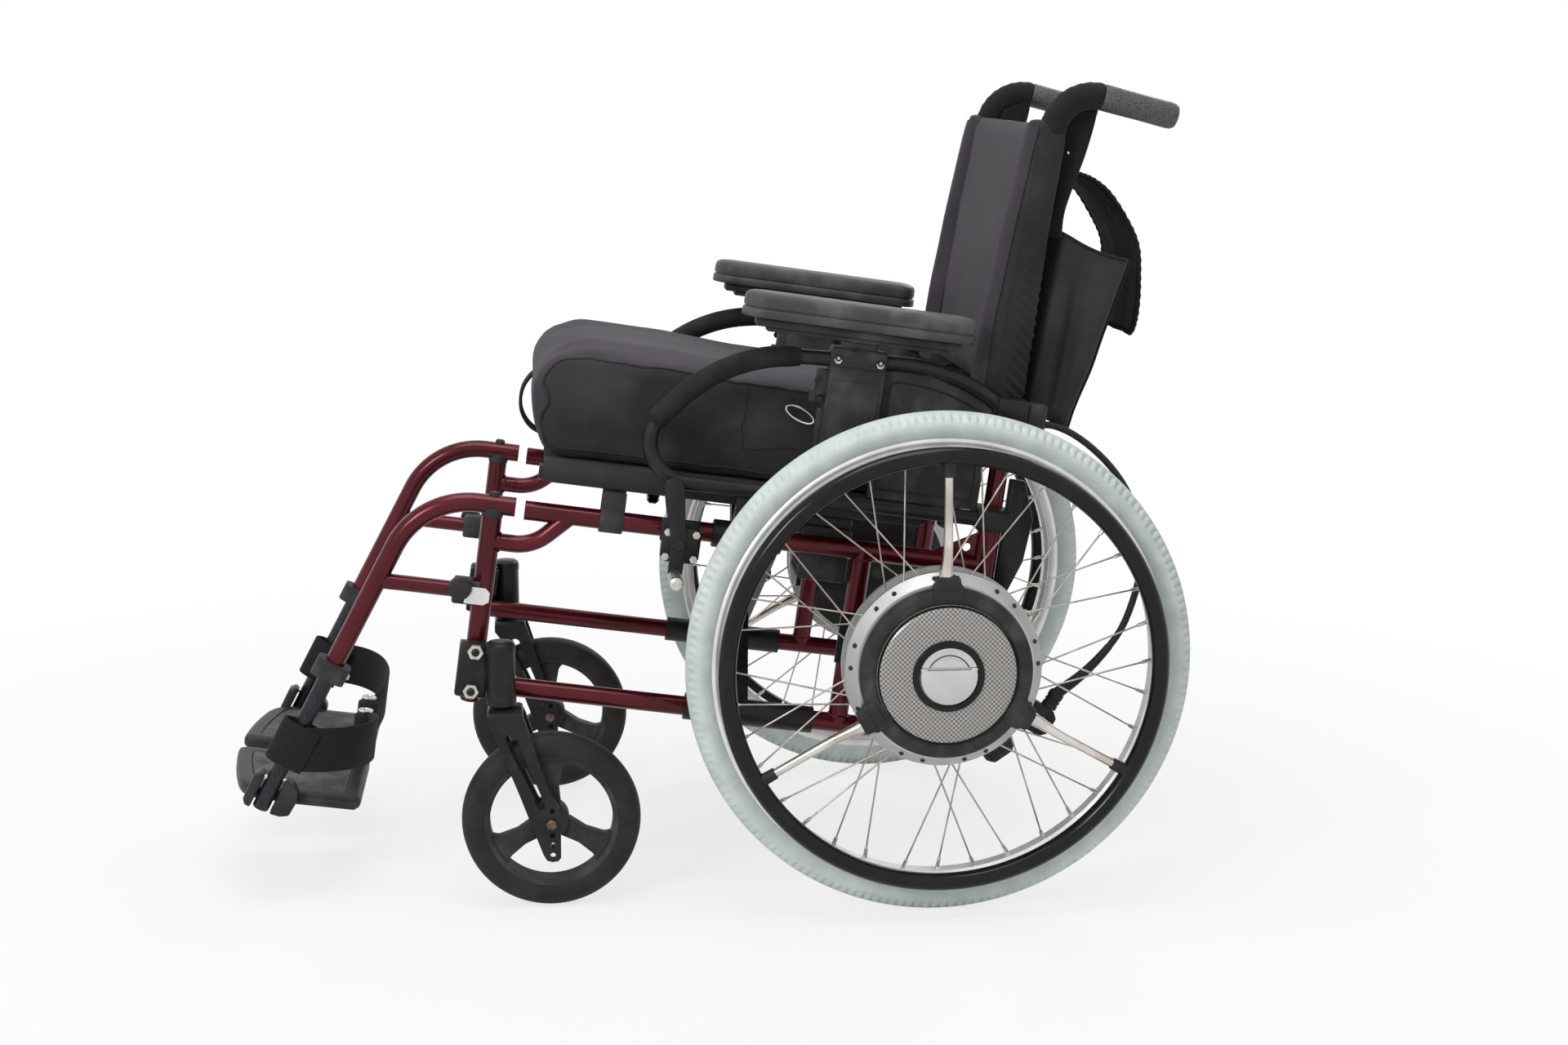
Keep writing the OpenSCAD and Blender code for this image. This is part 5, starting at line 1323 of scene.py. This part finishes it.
def sheeted(rows, thick):
    """A sheet of cloth over rows of points, closed all round its edge."""
    n, m = len(rows), len(rows[0])
    upper, lower, faces = [], [], []
    for i, row in enumerate(rows):
        for j, p in enumerate(row):
            along = rows[min(i + 1, n - 1)][j] - rows[max(i - 1, 0)][j]
            across = row[min(j + 1, m - 1)] - row[max(j - 1, 0)]
            way = along.cross(across).normalized() * (thick / 2 * MM)
            upper.append(p + way)
            lower.append(p - way)
    for i in range(n - 1):
        for j in range(m - 1):
            quad = (i * m + j, i * m + j + 1, (i + 1) * m + j + 1, (i + 1) * m + j)
            faces += [quad, [k + n * m for k in quad]]
    rim = list(range(m)) + [i * m + m - 1 for i in range(1, n)]
    rim += [(n - 1) * m + j for j in range(m - 2, -1, -1)] + [i * m for i in range(n - 2, 0, -1)]
    return upper + lower, faces + [(a, b, b + n * m, a + n * m) for a, b in zip(rim, rim[1:] + rim[:1])]


def dropped(rows, target, lift):
    """Rows of points dropped on a piece's surface and raised from it by a lift."""
    skin = BVHTree.FromPolygons([v.co for v in target.data.vertices],
                                [list(f.vertices) for f in target.data.polygons])
    laid = []
    for row in rows:
        found = [skin.find_nearest(p) for p in row]
        laid.append([spot + lift * MM * way for spot, way, face, far in found])
    return laid


def smooth(x, low, high):
    """A soft step from 0 to 1 between two values."""
    t = max(0, min(1, (x - low) / (high - low)))
    return t * t * (3 - 2 * t)


def stretch_knit(place):
    wale = (place.along(0) + place.along(1) * 0.4).waves(700)
    course = (place.along(2) + place.along(1) * 0.7).waves(700)
    ribs = wale * course
    shade = place.grain(9, 4)
    tone = (ribs * 0.12 + shade).step(0.25, 0.8)
    return {"Base Color": tone.colours((0.037, 0.032, 0.040), (0.065, 0.057, 0.068)),
            "Roughness": 0.62 + 0.2 * shade, "Bump": (ribs + place.grain(120, 3) * 1.2, 0.25, 0.0005)}


stretch_cloth = surface("purple_grey_stretch_cloth", stretch_knit,
                        {"Sheen Weight": 0.04, "Specular IOR Level": 0.14})
CUSHION_LOW = 61.4
CUSHION_FOOT = ((26, 130), (29, 110), (35, 90), (45, 70), (55, 63), (66, CUSHION_LOW), (495, CUSHION_LOW),
                (510, 74))
CUSHION_EDGE = ((26, 143), (29, 153), (36, 165), (46, 173), (60, 177.5), (84, 180), (195, 180), (250, 176),
                (400, 172), (490, 168), (510, 150))


def along_line(line, u):
    """The height of a line of (u, v) points at a place along the seat."""
    for (a, low), (b, high) in zip(line, line[1:]):
        if u <= b:
            return low + (high - low) * max(0, u - a) / (b - a)
    return line[-1][1]


def cushion_rise(u, c):
    """How far the top is above its edge: a crown with two soft ridges, lower towards the rear."""
    swell = 7 * (1 - abs(c) ** 2.4) + 4 * math.exp(-((abs(c) - 0.6) / 0.13) ** 2)
    return swell * (1 - 0.35 * smooth(u, 90, 300)) * smooth(u, 20, 80)


def cushion_loop(u):
    """One ring round the cushion at a place along the seat, boxy with rounded corners."""
    end = max(0, 60 - u) / 38
    nose_in = 18 * (1 - math.sqrt(max(0, 1 - end * end)))
    half = 182 - nose_in - 4 * math.sin(math.pi * u / 520) - 10 * smooth(u, 490, 512)
    low, high = along_line(CUSHION_FOOT, u), along_line(CUSHION_EDGE, u)
    r = min(9, 0.45 * (high - low))
    corners = ((1, -1), (1, 1), (-1, 1), (-1, -1))
    flat = []
    for n, (across, rise) in enumerate(corners):
        y, v = across * (half - r), (high - r if rise > 0 else low + r)
        flat += [Vector((y + r * math.cos(t), v + r * math.sin(t)))
                 for t in (math.pi / 2 * (n - 1 + k / 5) for k in range(6))]
    ring = []
    for p, q in zip(flat, flat[1:] + flat[:1]):
        steps = max(1, round((q - p).length / 12)) if (q - p).length > 2 * r else 1
        ring += [p.lerp(q, k / steps) for k in range(steps)]
    return [on_seat(u, p.x, p.y + cushion_rise(u, p.x / half) * smooth(p.y, low + r, high)) for p in ring]


def matched(rings, count):
    """Closed rings of points, each spread evenly over the same count of points."""
    even = []
    for ring in rings:
        ends = ring + ring[:1]
        reach = [0]
        for a, b in zip(ends, ends[1:]):
            reach.append(reach[-1] + (b - a).length)
        even.append([])
        for k in range(count):
            want = reach[-1] * k / count
            at = max(i for i in range(len(ring)) if reach[i] <= want)
            even[-1].append(ends[at].lerp(ends[at + 1],
                                          (want - reach[at]) / max(reach[at + 1] - reach[at], 1e-9)))
    return even


stations = [26, 27, 28.5, 30.5, 33, 36, 40, 45, 51, 58, 66, 75, 85]
stations += [100 + 15 * k for k in range(26)] + [483, 492, 499, 505, 510]
rings = matched([cushion_loop(u) for u in stations], 120)
cushion = piece("cushion_body", "seat", black_nylon, lofted(rings), 60)
swelled(cushion, 6, 4)


def cushion_folds(u, y, v):
    """The seam's groove, slack folds in the side cloth and a little unevenness all over."""
    side = smooth(abs(y), 160, 180)
    groove = -2.4 * math.exp(-((v - 181) / 5) ** 2) * side
    slack = side * smooth(v, 66, 95) * (1 - smooth(v, 150, 176))
    folds = 2.2 * math.sin((u + 0.6 * v) / 15 + 3 * noise.noise(Vector((u / 70, y / 200, v / 60)))) * slack
    lumps = 1.8 * noise.noise(Vector((u / 55, y / 70, v / 45)))
    return groove + folds * (0.4 + abs(noise.noise(Vector((u / 90, 0, v / 90 + y / 300))))) + lumps


creased(cushion, cushion_folds)
for vertex in cushion.data.vertices:
    vertex.co += UPWARD * MM * max(0, CUSHION_LOW - in_seat(vertex.co)[2])
edge_line = [(43, 66), (35, 88), (33, 98), (36, 110), (43, 123), (40, 134), (33, 147), (40, 168), (49, 183),
             (61, 191), (88, 196), (147, 198), (197, 197), (270, 193), (332, 190), (400, 188), (512, 184)]
ridge_line = [(43, 62), (26, 88), (20, 98), (16, 110), (13, 123), (12, 134), (12, 146), (18, 172), (34, 192),
              (56, 204), (88, 214), (147, 214), (197, 212), (270, 210), (332, 207), (400, 204), (512, 200)]
rows = []
for low, high in zip(eased([(u, 0, v) for u, v in edge_line], 5),
                     eased([(u, 0, v) for u, v in ridge_line], 5)):
    rows.append([])
    for j in range(61):
        a = j / 30 - 1
        p = high.lerp(low, smooth(abs(a), 0.78, 1))
        rows[-1].append(on_seat(p.x, 187 * a, p.z))
rows = dropped(rows, cushion, 0.6)
cushion_pieces = [cushion, piece("cushion_top", "seat", stretch_cloth, sheeted(rows, 2.4), 60)]
cords = []
for edge in (0, -1):
    gather = [1.2 + 1.6 * abs(math.sin(1.3 * i)) * (1 - smooth(i, 28, 34)) * smooth(i, 10, 14)
              for i in range(len(rows))]
    cords.append(swept([row[edge] for row in rows], gather, 8))
for hand in (-1, 1):
    for line in ([(270, 176), (269, 136), (272, 97)], [(273, 99), (300, 100), (346, 104)],
                 [(60, 70), (280, 67), (500, 66)]):
        path = dropped([[on_seat(p.x, hand * 196, p.z) for p in eased([(u, 0, v) for u, v in line], 10)]],
                       cushion, 0.4)[0]
        cords.append(swept(path, 1.2, 8))
cushion_pieces.append(piece("cushion_seams", "seat", black_nylon, joined(*cords), 60))
strap_line = ((33, 136), (25, 128), (18.5, 114), (17.5, 97), (22, 82), (33, 69), (47, 63), (62, 62.6))
loop = [on_seat(u, 0, v) for u, v in strap_line]
cushion_pieces.append(piece("cushion_strap", "seat", webbing,
                            strap(eased(loop, 4), (0, 1, 0), 30, 4)))
oval = [(17.5 * math.cos(t), 7 * math.sin(t)) for t in (2 * math.pi * k / 48 for k in range(49))]
ring = [on_seat(331 + 0.93 * a + 0.37 * b, -191.5 - 0.12 * a, 147 - 0.37 * a + 0.93 * b) for a, b in oval]
cushion_pieces.append(piece("cushion_ring", "seat", bright_steel, swept(ring, 1.1, 8)))
for part in cushion_pieces:
    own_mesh(part)
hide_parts("seat_cushion")

# Back upholstery: a purple-grey pad on a black cloth stretched between the canes, with a padded
# bolster sewn round each cane. The bolsters' black sides are stitched and gathered at the rear.


def bent(x, power):
    """A power that keeps the sign, to square off a round outline."""
    return math.copysign(abs(x) ** power, x)


BACK_LOW, BACK_TALL, PAD_SIDE, CLOTH_SIDE = 200, 312, 172, 181
BOLSTER_LOW, BOLSTER_TALL = 187, 324


def back_front(k):
    """How far rearward the bolsters' front is, with k from 0 at the foot to 1 at the top."""
    return 528 + 18 * k ** 1.5


def clipped(loop, times):
    """A closed loop of points with its corners cut off again and again, so that it turns smoothly."""
    for again in range(times):
        loop = [q for a, b in zip(loop, loop[1:] + loop[:1]) for q in (a.lerp(b, 0.25), a.lerp(b, 0.75))]
    return loop


rings = []
for step in range(33):
    k = step / 32
    shy = 9 * (abs(2 * k - 1) ** 16)
    front, rear = back_front(k) + 12 - 9 * k + 0.3 * shy, 561 - shy / 4
    mid, deep = (front + rear) / 2, (rear - front) / 2
    rings.append([])
    for a in range(72):
        t = 2 * math.pi * (a + 0.5) / 72
        c, s = bent(math.cos(t), 0.22), bent(math.sin(t), 0.3)
        rings[-1].append(on_seat(mid + deep * s, (PAD_SIDE - shy / 2) * c, BACK_LOW + BACK_TALL * k))
back_pad = piece("back_pad", "left_frame", stretch_cloth, lofted(rings), 60)
swelled(back_pad, 4, 3.5)
creased(back_pad, lambda u, y, v: 1.2 * noise.noise(Vector((u / 60, y / 80, v / 70))))
back_rows = [[on_seat(563.4, CLOTH_SIDE * (j / 12 - 1), v) for j in range(25)]
             for v in range(BACK_LOW, BACK_LOW + 309, 14)]
back_cloth = piece("back_cloth", "left_frame", black_nylon, sheeted(back_rows, 1.8))
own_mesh(back_pad)
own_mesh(back_cloth)
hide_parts("back_upholstery")
seam_line = eased([(530, 0, 194), (529, 0, 219), (528, 0, 284), (532, 0, 340), (536, 0, 408), (542, 0, 472),
                   (546, 0, 506)], 8)
for side, hand in HANDS:
    at = on_side(hand)
    body = side + "_frame"
    rings = []
    for step in range(41):
        k = step / 40
        f = back_front(k)
        loop = [(f + 14, -38), (f - 1, -31), (f - 5, -15), (f - 2, 4), (f + 8, 14), (546, 15.6), (572, 15.6),
                (580.5, 13.6), (584.4, 6), (584.4, -6), (580.5, -13.8), (572, -18), (563.6, -25),
                (562.6, -38)]
        middle = Vector((f / 2 + 280, -10))
        tuck = 1 - 0.22 * abs(2 * k - 1) ** 24
        rings.append([at(p.x, BOLSTER_LOW + BOLSTER_TALL * k, p.y)
                      for p in clipped([middle + tuck * (Vector(q) - middle) for q in loop], 2)])
    bolster = piece(f"{side}_bolster", body, black_nylon, lofted(rings), 60)
    swelled(bolster, 4.5, 2.5)

    def gathers(u, y, v, hand=hand):
        """Puckers round the rear of the cane, deeper towards the foot."""
        pull = smooth(u, 550, 566) * smooth(hand * y, 195, 206) * (1 - smooth(v, 300, 400))
        wave = math.sin(2 * math.pi * (v + 0.9 * (u - 560)) / 13
                        + 2.5 * noise.noise(Vector((u / 30, 0, v / 40))))
        return 2.1 * pull * wave + 0.9 * noise.noise(Vector((u / 25, y / 40, v / 60)))

    creased(bolster, gathers)
    strip = []
    for p in seam_line:
        f = back_front((p.z - BOLSTER_LOW) / BOLSTER_TALL)
        guide = eased([(f + 6, 0, -37), (f - 12, 0, -24), (f - 14, 0, -4), (p.x - 2, 0, 19)], 5)
        strip.append([at(q.x, p.z, q.z) for q in guide])
    strip = dropped(strip, bolster, 0.5)
    piece(f"{side}_bolster_facing", body, stretch_cloth, sheeted(strip, 2), 60)
    cords = [swept([row[-1] for row in strip], 1.2, 8)]
    thread = eased([(545, 0, 200), (545, 0, 244), (545, 0, 301), (547, 0, 359), (548, 0, 432), (547, 0, 503)],
                   9)
    thread = dropped([[at(p.x, p.z, 24) for p in thread]], bolster, 0.1)[0]
    for first, second in zip(thread, thread[1:]):
        cords.append(swept([first, first.lerp(second, 0.5)], 0.7, 6))
    piece(f"{side}_bolster_seams", body, black_rubber, joined(*cords), 60)

# Carry bag: an open pocket of black nylon that sags behind the back, with a stiff bound flap. Two
# webbing bands round the bends of the canes carry it on tapered straps.
POCKET = ((585, 190), (596, 392), (644, 166), (687, 369))


def squared(turn):
    """A point on a square with rounded corners, with the turn from 0 to 4 round its sides."""
    side, along = int(turn + 0.5) % 4, 2 * ((turn + 0.5) % 1) - 1
    c, s = ((1, along), (-along, 1), (-1, -along), (along, -1))[side]
    reach = (abs(c) ** 9 + abs(s) ** 9) ** (1 / 9)
    return c / reach, s / reach


def pocket_loop(t, inset, size=1.0):
    """One ring of the pocket, from 0 at its foot to 1 at its mouth, drawn in by an inset."""
    foot_front, top_front, foot_rear, top_rear = (Vector(p) for p in POCKET)
    front, rear = foot_front.lerp(top_front, t), foot_rear.lerp(top_rear, t)
    ring = []
    for k in range(120):
        c, s = squared(k / 30)
        q = 0.5 + 0.5 * s * size * (1 - inset / 36)
        p = front.lerp(rear, q)
        belly = math.sin(math.pi * min(1, 0.12 + 0.95 * t))
        crease = 17 * math.exp(-((q - 0.62 + 0.25 * t) / 0.13) ** 2) * belly
        crease += 4 * math.exp(-((q - 0.24) / 0.1) ** 2) * (1 - t)
        slack = 3.2 * noise.noise(Vector((p.x / 34, 3 * c, p.y / 48)))
        y = (190 - inset) * size * c - math.copysign(crease, c) * smooth(abs(c), 0.93, 0.99) * size
        sag = (11 * belly * smooth(s, 0.5, 1) * (1 - c * c) + slack * smooth(s, 0.2, 0.9)) * size
        dip = (7 * (1 - c * c) * smooth(s, -0.2, 0.9) + 6 * math.sin(math.pi * q)) * smooth(t, 0.75, 1)
        ring.append(on_seat(p.x + sag, y + slack * 0.6 * size,
                            p.y - dip - 5 * (1 - t) * (1 - c * c) * smooth(s, -0.6, 0.8)))
    return ring


heights = [k / 26 for k in range(27)]
rings = [pocket_loop(0, 0, size) for size in (0.15, 0.5, 0.8, 0.94)] + [pocket_loop(t, 0) for t in heights]
rings += [pocket_loop(t, 2.4) for t in reversed(heights[1:])]
rings += [pocket_loop(0.02, 2.4, size) for size in (0.94, 0.8, 0.5, 0.15)]
pocket = piece("bag_pocket", "left_frame", black_nylon, lofted(rings), 60)
mouth = pocket_loop(1, 1)
bindings = [swept(mouth + mouth[:1], 2.3, 8)]
for k in (14, 16, 45, 43):
    bindings.append(swept([pocket_loop(t, -0.6)[k] for t in heights], 1.5 if k in (16, 43) else 2.2, 8))
foot = pocket_loop(0.015, -0.8)
bindings.append(swept(foot + foot[:1], 2.4, 8))
flap_line = eased([(597.6, 0, 388), (597.6, 0, 420), (600, 0, 446), (609, 0, 456), (628, 0, 457),
                   (648, 0, 453), (672, 0, 438), (698, 0, 409), (715, 0, 380), (722, 0, 343), (726, 0, 305),
                   (728, 0, 281)], 4)
flap_rows = []
for i, p in enumerate(flap_line):
    flap_rows.append([])
    turn = max(0, i - len(flap_line) + 8) / 7.2
    for j in range(25):
        a = j / 12 - 1
        droop = 3 * (1 - a * a) * math.sin(math.pi * i / (len(flap_line) - 1))
        droop += 1.5 * noise.noise(Vector((i / 6, 3 * a, 0)))
        flap_rows[-1].append(on_seat(p.x - 0.6 * droop, (90 - 26 * (1 - math.sqrt(1 - turn * turn))) * a,
                                     p.z - 0.7 * droop))
flap = piece("bag_flap", "left_frame", black_nylon, sheeted(flap_rows, 3.4), 60)
border = [row[0] for row in flap_rows] + flap_rows[-1][1:-1] + [row[-1] for row in reversed(flap_rows)]
flap_edge = piece("bag_flap_edge", "left_frame", webbing,
                  swept(eased(border, 3), [3.3 + 0.5 * math.sin(1.9 * k) for k in range(3 * len(border) - 2)],
                        10), 60)
bag_edges = piece("bag_bindings", "left_frame", webbing, joined(*bindings), 60)
for part in (pocket, bag_edges, flap, flap_edge):
    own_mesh(part)
for side, hand in HANDS:
    at = on_side(hand)
    bend_line = [(568, 500), (568, 503)] + arc(613, 501.6, 45, 176, 85, 24)
    girth = [15.2 + 0.35 * math.sin(2.1 * k) for k in range(len(bend_line))]
    band = swept([at(u, v) for u, v in bend_line], girth, 32)
    front_edge = eased([(584, 0, 522), (581, 0, 500), (580, 0, 478), (580, 0, 431), (580, 0, 408),
                        (582, 0, 384)], 5)
    rear_edge = eased([(616, 0, 540), (616.5, 0, 522), (611, 0, 481), (602, 0, 438), (598, 0, 410),
                       (599, 0, 384)], 5)
    web = [[at(a.lerp(b, j / 8).x, a.lerp(b, j / 8).z, -17 + 1.2 * j + math.sin(i / 3 + j / 2))
            for j in range(9)] for i, (a, b) in enumerate(zip(front_edge, rear_edge))]
    piece(f"{side}_bag_band", side + "_frame", webbing,
                         joined(band, sheeted(web, 2.6)), 60)
    piece(f"{side}_bag_rivet", side + "_frame", bright_steel,
          turned([(0, 1.4), (1.2, 1.3), (1.9, 0.7), (2.1, 0), (0, 0)], at(592, 480, -11), (0, hand, 0), 16))
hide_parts("carry_bag")
flap_length = sum((b - a).length for a, b in zip(flap_line, flap_line[1:])) * MM
